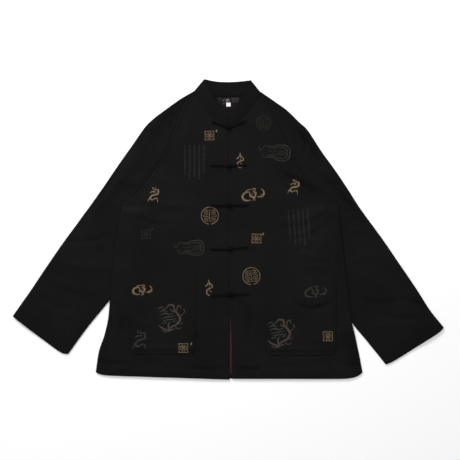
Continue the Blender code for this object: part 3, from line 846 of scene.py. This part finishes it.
def pocketLevel(size, x, y):
    up = y - size["bottom"]
    edge = min(x - size["left"], size["right"] - x, up)
    hem = size["top"] - pocket["hem"] - y
    level = heightAt(x, y) + pocket["ply"] + pocket["fullness"] * (1 - math.exp(-edge / 14))
    level += beside("pocketFoot", up) * smooth(4, 26, edge + 9) + beside("pocketStitch", up)
    return level + pocket["hemTurn"] * smooth(-1.5, 1.5, hem) + beside("pocketHem", hem)


for side, size in pockets.items():
    width, drop, corner = size["right"] - size["left"], size["top"] - size["bottom"], size["corner"]
    rounded = drop - corner * np.array([0.8, 0.6, 0.42, 0.25, 0.1, 0])
    downs = np.concatenate([np.linspace(0, drop - corner, 44), rounded])
    shares = np.linspace(0, 1, 40)
    places = np.zeros((len(downs), len(shares), 3))
    for row, down in enumerate(downs):
        past = max(0.0, down - (drop - corner))
        inset = min(corner - math.sqrt(max(0.0, corner ** 2 - past ** 2)), 0.8 * corner)
        for index, share in enumerate(shares):
            x = size["left"] + inset + (width - 2 * inset) * share
            y = size["top"] - down
            places[row, index] = (x, y, pocketLevel(size, x, y))
    # the pocket takes the front's painted shade
    paintedShade = paintedShadeFrom(frontCreases[side], frontShadeBands[side], places[..., 0], places[..., 1])
    shell = layCloth(f"{side}PocketShell", places, blackCloth, pocket["wall"], paintedShade=paintedShade)
    finishPiece(shell, "black_cloth", "pocket_" + side)
surfaces += [shownSurface(pieces[f"{side}PocketShell"]) for side in sides]
print("pockets laid")


def flatPlaces(left, right, top, bottom, level, rows, columns):
    xs, ys = np.linspace(left, right, columns), np.linspace(top, bottom, rows)
    return np.dstack([*np.meshgrid(xs, ys), np.full((rows, columns), level)])


places = flatPlaces(-9, 25, 262, -381, 1.85, rows=140, columns=12)
redStrip = layCloth("redStrip", places, redCloth, 0.9, rimWidth=0.25)
finishPiece(redStrip, "placket_red", "under_placket")

places = flatPlaces(-29, 32, 352, 314, 2.0, rows=20, columns=32)
places[..., 2] += 0.25 * np.sin(places[..., 0] / 9) * smooth(352, 320, places[..., 1])
label = layCloth("neckLabel", places, labelCloth, 0.7, rimWidth=0.2)
finishPiece(label, "label_cloth", "neck_label")
surfaces.append(shownSurface(label))

places = flatPlaces(-4.5, 7, 337, 326.8, 3.3, rows=12, columns=14)
places[..., 2] += 0.5 * smooth(337, 323, places[..., 1])
tab = layCloth("sizeTab", places, tabCloth, 0.6, rimWidth=0.18)
finishPiece(tab, "size_label_cloth", "size_label")
print("strip and labels laid")


def brush(points, widths, count=16):
    # One stroke of ink: a smooth line through a few points, and its width along it.
    points = np.array(points, float)
    line = through(points, np.linspace(0, len(points) - 1, count))
    width = np.interp(np.linspace(0, 1, count), np.linspace(0, 1, len(widths)), widths)
    return line, width


def pen(half):
    # A brush whose points are in half sizes of the drawing.
    def draw(points, widths, count=16):
        return brush([(x * half, y * half) for x, y in points], widths, count)
    return draw


def ring(centre, radii, turns, widths, count=22):
    # A stroke along part of an ellipse; turns are in degrees.
    angles = np.radians(np.linspace(*turns, count))
    line = np.stack([centre[0] + radii[0] * np.cos(angles), centre[1] + radii[1] * np.sin(angles)], axis=1)
    return line, np.interp(np.linspace(0, 1, count), np.linspace(0, 1, len(widths)), widths)


def curl(centre, size, turns, width, count=20):
    # A stroke that winds in as it goes; turns are in degrees.
    angles = np.radians(np.linspace(*turns, count))
    reach = size * np.linspace(1, 0.22, count)
    line = np.stack([centre[0] + reach * np.cos(angles), centre[1] + reach * np.sin(angles)], axis=1)
    return line, width * np.linspace(0.7, 1.15, count)


def squareSeal(size):
    # A lattice window in a square frame, cut like a wood block.
    half = size / 2
    strokes = []
    for across in (-1, 1):
        for upright in (True, False):
            bars = [
                ((across * half, -half - 1.0), (across * half, half + 1.0), 1.7),
                ((across * half * 0.30, -half * 0.76), (across * half * 0.30, half * 0.76), 1.15),
                ((across * half * 0.66, -half * 0.44), (across * half * 0.66, half * 0.44), 1.15),
            ]
            for start, end, width in bars:
                points = [start, end] if upright else [start[::-1], end[::-1]]
                strokes.append(brush(points, (width, width * 0.88, width), count=8))
    strokes.append(ring((0, 0), (half * 0.12, half * 0.12), (0, 360), (1.7, 1.7), count=9))
    return strokes


def sealDab(size):
    return [brush([(0, -size / 2), (-0.6, 0), (0.6, size / 2)], (2.2, 4.6, 2.6), count=7)]


def roundSeal(size):
    # A ring with four scrolls that turn away from a middle stem.
    half = size / 2
    strokes = [ring((0, 0), (half - 1.4, half - 1.4), (-82, 262), (2.0, 1.6, 2.2, 1.7), count=46)]
    strokes.append(brush([(0.4, half * 0.66), (-0.8, 0), (0.6, -half * 0.68)], (1.1, 1.7, 1.2)))
    for across in (-1, 1):
        for up in (-1, 1):
            middle = (across * half * 0.36, up * half * 0.28)
            turns = (90 - 90 * across, 90 - 90 * across - across * up * 430)
            strokes.append(curl(middle, half * 0.25, turns, 1.35))
            arch = [(across * 0.12, up * 0.60), (across * 0.42, up * 0.60), (across * 0.62, up * 0.30)]
            strokes.append(pen(half)(arch, (1.0, 1.7, 1.1), 9))
        side = [(across * half * 0.64, -2.4), (across * half * 0.7, 1.2)]
        strokes.append(brush(side, (2.4, 1.8), count=5))
    return strokes


def crescentBird(size):
    # Two crescent wings about a pair of plumes.
    w = size / 2
    draw = pen(w)
    return [
        ring((-w * 0.42, -w * 0.06), (w * 0.5, w * 0.36), (62, 292), (1.6, 5.4, 5.8, 1.8), 26),
        ring((-w * 0.10, w * 0.12), (w * 0.62, w * 0.38), (172, 74), (1.4, 2.6, 1.2), 18),
        ring((w * 0.42, w * 0.08), (w * 0.54, w * 0.42), (-68, 52), (1.6, 6.0, 3.4, 1.4), 24),
        draw([(-0.26, 0.24), (-0.24, -0.04), (0.02, -0.24), (0.14, -0.52)], (3.0, 4.8, 4.6, 1.2)),
        draw([(0.02, 0.30), (0.26, 0.12), (0.16, -0.16), (-0.1, -0.54)], (2.6, 5.2, 4.8, 1.2)),
        draw([(0.30, -0.18), (0.52, -0.26), (0.76, -0.06)], (1.4, 3.2, 1.2), 10),
        curl((w * 0.2, w * 0.42), w * 0.15, (200, -120), 2.6, count=14),
        draw([(-0.1, 0.1), (0.02, 0.02)], (2.6, 2.0), 5),
    ]


def littleDragon(size):
    # A dragon that runs upward, its legs below.
    draw = pen(size / 2)
    return [
        draw([(-0.10, 0.96), (-0.06, 0.74)], (2.0, 4.6, 2.6), 6),
        draw([(-0.02, 0.70), (0.34, 0.66), (0.62, 0.56), (0.56, 0.16), (0.20, 0.02),
              (-0.24, -0.12), (-0.42, -0.42), (-0.16, -0.62), (0.14, -0.52)],
             (1.8, 4.2, 4.6, 5.2, 4.6, 4.8, 3.6, 1.6), 34),
        draw([(0.26, 0.40), (-0.12, 0.42), (-0.48, 0.22)], (4.4, 4.0, 1.4), 10),
        draw([(-0.34, -0.34), (-0.62, -0.58), (-0.7, -0.9)], (3.6, 2.4, 1.0), 9),
        draw([(0.04, -0.5), (0.38, -0.42), (0.52, -0.72), (0.5, -1.0)], (2.8, 3.2, 2.0, 0.9), 11),
        draw([(0.14, 0.86), (0.32, 0.98)], (1.6, 0.8), 5),
    ]


def flameFigure(size):
    # A small flame that stands on a curled stem.
    draw = pen(size / 2)
    return [
        draw([(0.00, 0.98), (0.02, 0.62), (0.14, 0.26)], (0.7, 3.2, 4.8, 2.8), 12),
        draw([(-0.10, 0.6), (-0.26, 0.26), (-0.5, 0.14)], (1.2, 3.4, 1.2), 9),
        draw([(0.16, 0.5), (0.38, 0.26), (0.42, 0.02), (0.04, -0.14),
              (-0.32, -0.36), (-0.32, -0.72), (0.02, -0.98), (0.3, -0.82)],
             (1.6, 2.7, 2.7, 3.3, 3.6, 3.3, 2.6, 1.0), 28),
        draw([(-0.02, -0.4), (0.2, -0.5), (0.22, -0.66)], (1.9, 2.2, 0.7), 9),
        draw([(-0.02, 0.08), (0.14, 0.04)], (1.9, 1.3), 5),
    ]


def curledDragon(size):
    # A long dragon that arches over, comes down its right and ends in the wave it stands on.
    strokes = [
        (((-0.32, 0.66), (-0.12, 0.92), (0.18, 0.88), (0.26, 0.54), (0.50, 0.26), (0.66, -0.08),
          (0.44, -0.44), (0.04, -0.66), (-0.22, -0.86)), (1.8, 4.6, 5.2, 4.8, 6.2, 6.4, 5.2, 4.2, 2.2)),
        (((0.40, 0.38), (0.46, 0.76), (0.64, 0.88), (0.74, 0.62)), (2.2, 3.4, 3.0, 1.2)),
        (((-0.88, -0.52), (-0.62, -0.74), (-0.16, -0.90), (0.34, -0.76)), (1.6, 4.6, 5.4, 1.6)),
        (((-0.06, -0.28), (-0.18, -0.52), (-0.14, -0.84)), (1.8, 4.2, 3.8)),
        (((0.30, 0.44), (0.08, 0.48), (-0.04, 0.64)), (3.0, 3.4, 1.4)),
        (((-0.34, 0.68), (-0.54, 0.62), (-0.66, 0.72)), (1.6, 2.4, 0.8)),
        (((0.60, 0.16), (0.82, 0.20), (0.92, 0.42)), (2.2, 1.8, 0.8)),
        (((0.50, -0.40), (0.76, -0.44), (0.86, -0.28)), (2.2, 2.2, 0.8)),
        (((-0.70, -0.90), (-0.38, -1.02), (-0.04, -0.98)), (0.9, 2.4, 1.0)),
        (((0.30, -0.62), (0.52, -0.80), (0.76, -0.70)), (1.6, 2.6, 1.0)),
    ]
    draw = pen(size / 2)
    return [draw(points, widths, 5 * len(points)) for points, widths in strokes]


def dragonMist(size):
    # The cloud that the dragon's body curls about: soft bands of uneven length.
    r = size / 2
    bands = [
        ((-0.82, 0.40), (-0.52, 0.52), (-0.20, 0.44)),
        ((-0.78, 0.16), (-0.50, 0.30), (-0.12, 0.24), (0.20, 0.34)),
        ((-0.70, -0.06), (-0.36, 0.02), (-0.02, 0.08), (0.30, 0.14)),
        ((-0.56, -0.24), (-0.24, -0.14), (0.08, -0.12), (0.40, -0.06)),
        ((-0.90, 0.60), (-0.74, 0.74), (-0.54, 0.80)),
        ((-0.70, -0.40), (-0.46, -0.36), (-0.26, -0.30)), ((0.12, -0.34), (0.22, -0.24), (0.42, -0.22)),
        ((0.86, 0.62), (0.98, 0.52), (0.94, 0.34)),
    ]
    draw = pen(r)
    strokes = [draw(band, (1.6, 3.6, 1.4), 14) for band in bands]
    strokes.append(curl((-r * 0.34, r * 0.38), r * 0.13, (30, 380), 1.6))
    return strokes


def gourdOutline(size):
    # A gourd on its side, drawn in two lines, with a stalk, inner folds and a scatter of seeds.
    w = size / 2
    draw = pen(w)
    outer = [(-0.86, 0.06), (-0.62, 0.40), (-0.22, 0.34), (0.12, 0.46), (0.56, 0.50), (0.92, 0.20),
             (0.90, -0.24), (0.52, -0.50), (0.10, -0.44), (-0.26, -0.30), (-0.66, -0.34), (-0.84, -0.04)]
    inner = [(x * 0.80 + 0.03, y * 0.72) for x, y in outer[1:]]
    strokes = [
        draw(outer, (1.2, 2.8, 3.0, 2.2, 1.2), 72),
        draw(inner, (0.9, 1.8, 2.0, 1.6, 0.9), 56),
        draw([(-0.86, 0.08), (-1.0, 0.16), (-1.04, 0.36)], (2.6, 1.8, 0.9), 9),
        draw([(-0.5, 0.1), (-0.16, 0.02), (0.14, 0.14)], (0.9, 2.0, 0.9), 12),
        draw([(-0.44, -0.12), (-0.06, -0.16), (0.2, -0.06)], (0.9, 1.8, 0.9), 12),
    ]
    for step in range(5):
        across = w * (0.22 + 0.11 * step)
        strokes.append(brush([(across, -w * 0.2), (across + 1.4, w * 0.2)], (0.9, 1.7, 0.9), count=6))
    for step in range(14):
        angle = 2 * math.pi * step / 14
        spot = (w * 0.3 + w * 0.42 * math.cos(angle), w * 0.29 * math.sin(angle))
        strokes.append(brush([spot, (spot[0] + 1.8, spot[1] + 1.2)], (1.5, 0.9), count=3))
    return strokes


def twigColumns(size):
    # Columns of leafy twigs: a broken stem with short leaves to either side of it.
    w, h = size[0] / 2, size[1] / 2
    top, spacing, lows = 0.96, 4.1, (-0.72, -0.98, -0.86, -1.0, -0.60)
    strokes = []
    for row, low in enumerate(lows):
        across = w * (-0.80 + 0.38 * row)
        count = round((top - low) * h / spacing)
        for step in range(count):
            up = h * (top - (top - low) * step / count)
            lean = 1 if (step + row) % 2 else -1
            long = 3.3 + 1.0 * math.sin(2.3 * step + 1.7 * row)
            strokes.append(brush([(across, up), (across + lean * long, up + 1.6)], (2.0, 0.8), count=4))
            if (step + row) % 4:
                stem = [(across - 0.4, up + 2.4), (across + 0.3, up - 2.2)], (1.5, 2.2, 1.3)
            else:
                stem = [(across, up), (across - lean * long, up - 0.8)], (2.2, 0.9)
            strokes.append(brush(*stem, count=4))
    return strokes


# Each print: its drawing, size, place of its middle, turn in degrees and ink.
printRows = [
    (squareSeal, 23, (-49, 250), 1, "gold"), (sealDab, 6.5, (-30, 262), -8, "gold"),
    (squareSeal, 23, (75.5, -22.5), -1, "gold"), (sealDab, 6.5, (93, -11), -6, "gold"),
    (squareSeal, 23, (-118, -312), 0, "gold"), (sealDab, 6.5, (-97, -301), -8, "gold"),
    (squareSeal, 24, (264, -281), 0, "gold"),
    (squareSeal, 23, (-217, -11), 2, "grey"), (sealDab, 6.5, (-200, 3), -8, "grey"),
    (flameFigure, 42, (32, 185), 0, "gold"), (flameFigure, 43, (-50, -152), 4, "gold"),
    (roundSeal, 48, (-48, 38), 0, "gold"), (roundSeal, 48, (62, -122), 8, "gold"),
    (roundSeal, 41, (94, 283.5), 0, "grey"),
    (crescentBird, 62, (66, 93), 9, "gold"), (crescentBird, 52, (-227, -159), 3, "gold"),
    (crescentBird, 58, (231, -164), 4, "paleGrey"),
    (littleDragon, 42, (-197, 93), 0, "gold"), (littleDragon, 42, (174, 114), -4, "gold"),
    (littleDragon, 54, (-234.5, -291), 4, "paleGrey"),
    (curledDragon, 74, (-151, -232), 0, "rose"), (dragonMist, 74, (-151, -232), 0, "sage"),
    (curledDragon, 76, (139, -272), 0, "rose"), (dragonMist, 74, (139, -272), 0, "sage"),
    (gourdOutline, 85, (125, 205), -4, "olive"), (gourdOutline, 80, (-101, -48), 3, "olive"),
    (twigColumns, (66, 95), (-87.5, 177.5), 0, "grey"), (twigColumns, (66, 100), (189.5, 5), 4, "grey"),
]
inks = {
    "gold": {"full": (0.155, 0.109, 0.062), "worn": (0.070, 0.048, 0.027), "lift": 0.16},
    "rose": {"full": (0.054, 0.038, 0.033), "worn": (0.028, 0.020, 0.017), "lift": 0.14},
    "sage": {"full": (0.033, 0.035, 0.029), "worn": (0.016, 0.017, 0.014), "lift": 0.12},
    "olive": {"full": (0.026, 0.025, 0.020), "worn": (0.0145, 0.014, 0.0115), "lift": 0.12},
    "grey": {"full": (0.0185, 0.0178, 0.0162), "worn": (0.0105, 0.0102, 0.0094), "lift": 0.12},
    "paleGrey": {"full": (0.027, 0.0257, 0.0234), "worn": (0.0149, 0.0142, 0.0129), "lift": 0.12},
}
inkSlots = {"gold": "print_gold", "rose": "print_rose"}  # the others are all "print_grey"


def layStroke(shape, line, width, lift):
    # A flat ribbon of ink that follows the cloth under it.
    count = len(line)
    made = bmesh.ops.create_grid(shape, x_segments=count - 1, y_segments=2, size=0.5)["verts"]
    tangent = np.gradient(line, axis=0)
    tangent /= np.maximum(np.linalg.norm(tangent, axis=1), 1e-6)[:, None]
    for vert in made:
        index = round((vert.co.x + 0.5) * (count - 1))
        side = round(vert.co.y * 2)
        x = line[index, 0] - tangent[index, 1] * width[index] / 2 * side
        y = line[index, 1] + tangent[index, 0] * width[index] / 2 * side
        vert.co = (x * mm, (y + cloth["shift"]) * mm, (heightAt(x, y) + lift) * mm)


def finishInk(name, shape, material, slotName, thickness):
    shape.normal_update()
    bmesh.ops.reverse_faces(shape, faces=[face for face in shape.faces if face.normal.z < 0])
    marks = bpy.data.objects.new(name, meshFrom(name, shape, material))
    film = marks.modifiers.new("film", "SOLIDIFY")
    film.thickness = thickness * mm
    film.offset = 1.0
    finishPiece(marks, slotName)


for ink, how in inks.items():
    shape = bmesh.new()
    count = 0
    for drawing, size, at, turn, rowInk in printRows:
        if rowInk != ink:
            continue
        c, s = math.cos(math.radians(turn)), math.sin(math.radians(turn))
        for line, width in drawing(size):
            placed = np.stack([at[0] + line[:, 0] * c - line[:, 1] * s,
                               at[1] + line[:, 0] * s + line[:, 1] * c], axis=1)
            layStroke(shape, placed, width, how["lift"] + 0.02 * (count % 5))
            count += 1
    material = printMaterial(ink + "Print", how["full"], how["worn"], specular=0.08)
    finishInk(ink + "Marks", shape, material, inkSlots.get(ink, "print_grey"), 0.1)
    print(ink, "prints:", count, "strokes")


def layTube(shape, path, radii, around, closed=False):
    # A round cord along a path in millimetres; an open one closes to a point at both ends.
    path = np.array(path, float)
    count = len(path)
    steps = count if closed else count - 1
    made = bmesh.ops.create_grid(shape, x_segments=steps, y_segments=around, size=0.5)
    uvs = shape.loops.layers.uv.get("grain") or shape.loops.layers.uv.new("grain")
    if closed:
        tangent = np.roll(path, -1, axis=0) - np.roll(path, 1, axis=0)
    else:
        tangent = np.gradient(path, axis=0)
    tangent /= np.maximum(np.linalg.norm(tangent, axis=1), 1e-9)[:, None]
    run = runAlong(path)
    run = np.append(run, run[-1])
    across = np.cross(tangent, np.array([0.0, 0.0, 1.0]))
    across /= np.maximum(np.linalg.norm(across, axis=1), 1e-6)[:, None]
    raised = np.cross(across, tangent)
    spots = {}
    for vert in made["verts"]:
        step = round((vert.co.x + 0.5) * steps)
        turn = round((vert.co.y + 0.5) * around)
        index = step % count if closed else step
        angle = 2 * math.pi * turn / around
        side = math.cos(angle) * across[index] + math.sin(angle) * raised[index]
        x, y, z = path[index] + radii[index] * side
        spots[vert] = (run[step] * mm, angle * 1.2 * mm)
        vert.co = (x * mm, (y + cloth["shift"]) * mm, z * mm)
    for face in {face for vert in made["verts"] for face in vert.link_faces}:
        for loop in face.loops:
            loop[uvs].uv = spots[loop.vert]


def addMesh(name, shape, material, weld=1e-6):
    bmesh.ops.remove_doubles(shape, verts=shape.verts, dist=weld)
    bmesh.ops.dissolve_degenerate(shape, dist=1e-7, edges=shape.edges)
    bmesh.ops.recalc_face_normals(shape, faces=shape.faces)
    mesh = meshFrom(name, shape, material)
    mesh.shade_smooth()
    return bpy.data.objects.new(name, mesh)


stitch = {"pitch": 3.6, "length": 2.5, "radius": 0.24, "sink": 0.16, "rise": 0.1}


def layStitches(shape, line):
    # A row of stitches along a line, in millimetres; a line of the plan lies on the cloth.
    line = np.array(line, float)
    run = runAlong(line[:, :2])
    starts = np.arange(0.6, run[-1] - stitch["length"], stitch["pitch"])
    radii = (0.05, stitch["radius"], stitch["radius"], 0.05)
    for start in starts:
        path = []
        for share in (0, 0.3, 0.7, 1):
            place = [np.interp(start + share * stitch["length"], run, axis) for axis in line.T]
            level = heightAt(*place) if len(place) == 2 else place[2]
            level += stitch["rise"] if 0 < share < 1 else -stitch["sink"]
            path.append((place[0], place[1], level))
        layTube(shape, path, radii, around=5)
    return len(starts)


stitches = bmesh.new()
total = 0
for side, outward in (("right", -1), ("left", 1)):
    inner, seam = column(bodyTable, "inner", side), column(bodyTable, "seam", side)
    edge = through(inner, np.linspace(4.15, 15.86, 200))
    total += layStitches(stitches, edge + np.array([outward * 7.6, 0]))
    share = np.linspace(0.02, 0.96, 80)
    hemLine = seam[-1] + (inner[-1] - seam[-1]) * share[:, None]
    hemLine[:, 1] += hemStitch - hemBow(side, share)
    total += layStitches(stitches, hemLine)
    left, right, top, bottom = (pockets[side][key] for key in ("left", "right", "top", "bottom"))
    for inset in (2.2, 8.0):
        corner = pockets[side]["corner"] - inset * 0.5
        turn = np.radians(np.linspace(180, 270, 9))
        cornerLeft = np.stack([left + inset + corner + corner * np.cos(turn),
                               bottom + inset + corner + corner * np.sin(turn)], axis=1)
        cornerRight = cornerLeft[::-1] * [-1, 1] + [left + right, 0]
        ends = [(left + inset, top - 1.5)], [(right - inset, top - 1.5)]
        path = np.vstack([ends[0], cornerLeft, cornerRight, ends[1]])
        total += layStitches(stitches, path)
    total += layStitches(stitches, [(left + 9.5, top - pocket["hem"]), (right - 9.5, top - pocket["hem"])])
aboveCollar = collar["wall"] / 2
for side in sides:
    for share in (0.1, 0.9):
        low, high = collarLines(side, np.linspace(0.15, 5.0, 60))
        line = low + (high - low) * share
        puff = collar["frontPuff"] * math.sin(math.pi * share)
        line[:, 2] += puff - collar["baseDrop"] * (1 - share) + aboveCollar
        total += layStitches(stitches, line)
for share in (0.72, 0.88):
    low, high = collarLines("right", np.linspace(7.6, 10, 40))
    half = low + (high - low) * share
    half[:, 2] += collar["backPuff"] * math.sin(math.pi * share) + aboveCollar
    total += layStitches(stitches, np.vstack([half, half[-2::-1] * [-1, 1, 1]]))
finishPiece(addMesh("topStitching", stitches, blackThread), "black_cloth")
print("stitches:", total)

# Each frog: the outer end of its knot half, the middle of its knot, the outer end of its loop half.
frogRows = [
    ((-45, 287), (0.8, 271), (48, 289)), ((-48, 171), (1.2, 169), (50, 172)), ((-48, 64), (3, 65), (54, 66)),
    ((-48, -51), (4, -51), (54, -46)), ((-48, -174), (4.6, -171), (56, -170)),
]
frog = {"cord": 1.6, "apart": 1.66, "ball": 3.6, "ballCord": 1.12, "ballLevel": 9.2, "loop": 6.0,
        "around": 12, "tackPitch": 5.5, "tack": 0.24}


def cordRun(start, end, count):
    share = np.linspace(0, 1, count)[:, None]
    return np.array(start) * (1 - share) + np.array(end) * share


def endRound(path, radius):
    # The cord's radius along a path that closes softly at both ends.
    run = runAlong(path)
    share = np.clip(np.minimum(run, run[-1] - run) / radius, 0, 1)
    return radius * np.sqrt(np.clip(1 - (1 - share) ** 2, 0, 1))


def cordLevel(x, y):
    # The cloth's level where a cord lies on it, bridging the gap at the front.
    around = [heightAt(x + dx, y + dy) for dx in (-3, 0, 3) for dy in (-2, 2)]
    return max(np.mean(around), max(around) - 0.4)


def frogLine(part, reach):
    # Half a frog: two runs of cord joined by a turn at the outer end, as distance and offset.
    gap = frog["apart"]
    turn = np.radians(np.linspace(-90, 90, 11))
    far = np.stack([reach - gap - frog["cord"] + gap * np.cos(turn), gap * np.sin(turn)], axis=1)
    if part == "knot":
        near = [(8.5, -gap), (6.2, -1.45), (3.6, -1.1)]
    else:
        size = frog["loop"]
        near = [(14.0, -gap), (11.0, -gap - 0.3)]
        near += [(1.2 + size * math.cos(a) * 1.12, -size * 0.86 * math.sin(a))
                 for a in np.radians(np.linspace(28, 180, 13))]
    half = np.vstack([cordRun(far[0], near[0], 16)[1:], near[1:]])
    line = np.vstack([half[::-1], far, half * [1, -1]])
    return line[:-1] if part == "loop" else line


def evenedLevels(levels, closed):
    for _ in range(3):
        even = (np.roll(levels, 1) + levels + np.roll(levels, -1)) / 3
        if not closed:
            even[[0, -1]] = levels[[0, -1]]
        levels = even
    return levels


def addBall(shape, middle, level):
    # The button is one cord led round three times, under and over itself.
    t = np.linspace(0, 6 * math.pi, 145)[:-1]
    latitude = 0.92 * np.sin(4 / 3 * t)
    radius = frog["ball"] * (1 + 0.15 * np.cos(8 / 3 * t + 0.6))
    ball = np.stack([middle[0] + radius * np.cos(latitude) * np.cos(t),
                     middle[1] + radius * np.cos(latitude) * np.sin(t),
                     level + radius * np.sin(latitude)], axis=1)
    layTube(shape, ball, np.full(len(t), frog["ballCord"]), around=frog["around"], closed=True)
    heart = bmesh.ops.create_uvsphere(shape, u_segments=16, v_segments=10, radius=(frog["ball"] - 0.5) * mm)
    place = Vector((middle[0] * mm, (middle[1] + cloth["shift"]) * mm, level * mm))
    bmesh.ops.translate(shape, verts=heart["verts"], vec=place)


def addFrogHalf(number, part, outer, middle, raised):
    reach = np.linalg.norm(outer - middle)
    along = (outer - middle) / reach
    across = np.array([-along[1], along[0]])
    path = []
    for distance, offset in frogLine(part, reach):
        spot = middle + along * distance + across * offset
        level = cordLevel(*spot) + frog["cord"] - 0.1 + raised * 0.4
        if part == "knot" and distance < 11:
            level += float(smooth(11.0, 4.0, distance)) * (frog["ballLevel"] - 0.6 - level)
        path.append((spot[0], spot[1], level))
    path = np.array(path)
    radii = np.full(len(path), frog["cord"]) if part == "loop" else endRound(path, frog["cord"])
    path[:, 2] = evenedLevels(path[:, 2], part == "loop")
    shape = bmesh.new()
    layTube(shape, path, radii, around=frog["around"], closed=part == "loop")
    if part == "knot":
        addBall(shape, middle, frog["ballLevel"] + raised)
    made = addMesh(f"{part}Cord{number}", shape, frogCloth, weld=1e-7)
    finishPiece(made, "frog_cord", f"frog_{part}_{number}")
    # the tacking that holds the two runs together and down
    tacks = bmesh.new()
    for step in np.arange(6.0, reach - (6.0 if part == "knot" else 12.0), frog["tackPitch"]):
        spot = middle + along * (reach - step)
        level = cordLevel(*spot) + 2 * frog["cord"] - 0.55
        bridge = [(*(spot + across * offset), level + lift)
                  for offset, lift in ((-0.7, -0.1), (-0.35, 0.16), (0.35, 0.16), (0.7, -0.1))]
        layTube(tacks, bridge, (0.1, frog["tack"], frog["tack"], 0.1), around=6)
    finishPiece(addMesh(f"{part}Tacks{number}", tacks, blackThread), "frog_cord")


for number, (knotEnd, knot, loopEnd) in enumerate(frogRows, start=1):
    raised = 0.8 if number == 1 else 0.0  # the top frog lies on the collar's seam
    for part, outer in (("knot", knotEnd), ("loop", loopEnd)):
        addFrogHalf(number, part, np.array(outer, float), np.array(knot, float), raised)
print("frogs made:", len(frogRows))

# The label's woven pattern: a plain emblem with dashes beside it, and four bars.
labelMarks = {
    "labelEmblem": (labelPrint, [
        curl((-1, 343.5), 3.6, (0, 380), 3.0),
        ring((-1, 343.5), (5.4, 4.6), (120, 420), (0.7, 1.4, 0.7)),
        brush([(-9, 347), (-15, 341)], (0.8, 1.8, 0.8), count=6),
        brush([(-8, 338), (-14, 333)], (0.8, 1.6, 0.8), count=6),
    ]),
    "labelBars": (labelBrown, [
        brush([(9, 349), (28, 349)], (2.2, 2.6), count=8),
        brush([(9, 345.6), (29, 345.6)], (2.6, 2.2), count=8),
        brush([(10, 342.2), (28, 342.2)], (2.2, 2.6), count=8),
        brush([(10, 338.8), (29, 338.8)], (2.4, 2.0), count=8),
        brush([(-26, 349), (-16, 349)], (1.2, 1.8), count=6),
        brush([(-26, 345), (-18, 345)], (1.4, 1.6), count=6),
    ]),
}
for name, (material, strokes) in labelMarks.items():
    shape = bmesh.new()
    for line, width in strokes:
        layStroke(shape, line, width, 0.1)
    finishInk(name, shape, material, "label_cloth", 0.08)
print("label marked")

floorMaterial, _, floorShader = startMaterial("paleFloor", 0.9, 0.1)
floorShader.inputs["Base Color"].default_value = (0.93, 0.93, 0.93, 1)
floorShape = bmesh.new()
bmesh.ops.create_grid(floorShape, x_segments=1, y_segments=1, size=6.0)
floor = bpy.data.objects.new("floor", meshFrom("floor", floorShape, floorMaterial))
bpy.context.scene.collection.objects.link(floor)
floor.location.z = -0.2 * mm
floor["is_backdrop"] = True

lights = {
    "sky": {"at": (0.0, 0.3, 3.6), "size": 4.2, "power": 66.0},
    "window": {"at": (-1.3, 2.6, 1.75), "size": 1.2, "power": 95.0},
}
for name, how in lights.items():
    lamp = bpy.data.lights.new(name, "AREA")
    lamp.shape = "DISK"
    lamp.size = how["size"]
    lamp.energy = how["power"]
    made = bpy.data.objects.new(name, lamp)
    made.location = how["at"]
    made.rotation_euler = Vector(how["at"]).to_track_quat("Z", "Y").to_euler()
    bpy.context.scene.collection.objects.link(made)

world = bpy.data.worlds.new("studio")
bpy.context.scene.world = world
world.use_nodes = True
background = world.node_tree.nodes["Background"]
background.inputs["Color"].default_value = (1, 1, 1, 1)
background.inputs["Strength"].default_value = 0.4

cameraData = bpy.data.cameras.new("camera")
cameraData.lens = 100.0
cameraData.sensor_width = 36.0
cameraData.clip_end = 50.0
camera = bpy.data.objects.new("camera", cameraData)
camera.location = (0.0053, -0.0022, 3.386)
bpy.context.scene.collection.objects.link(camera)
bpy.context.scene.camera = camera
bpy.context.scene.view_settings.view_transform = "Standard"

low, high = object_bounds()
{"cad": [list(cadLow), list(cadHigh)], "visual": [list(low), list(high)]}
print("scene ready")
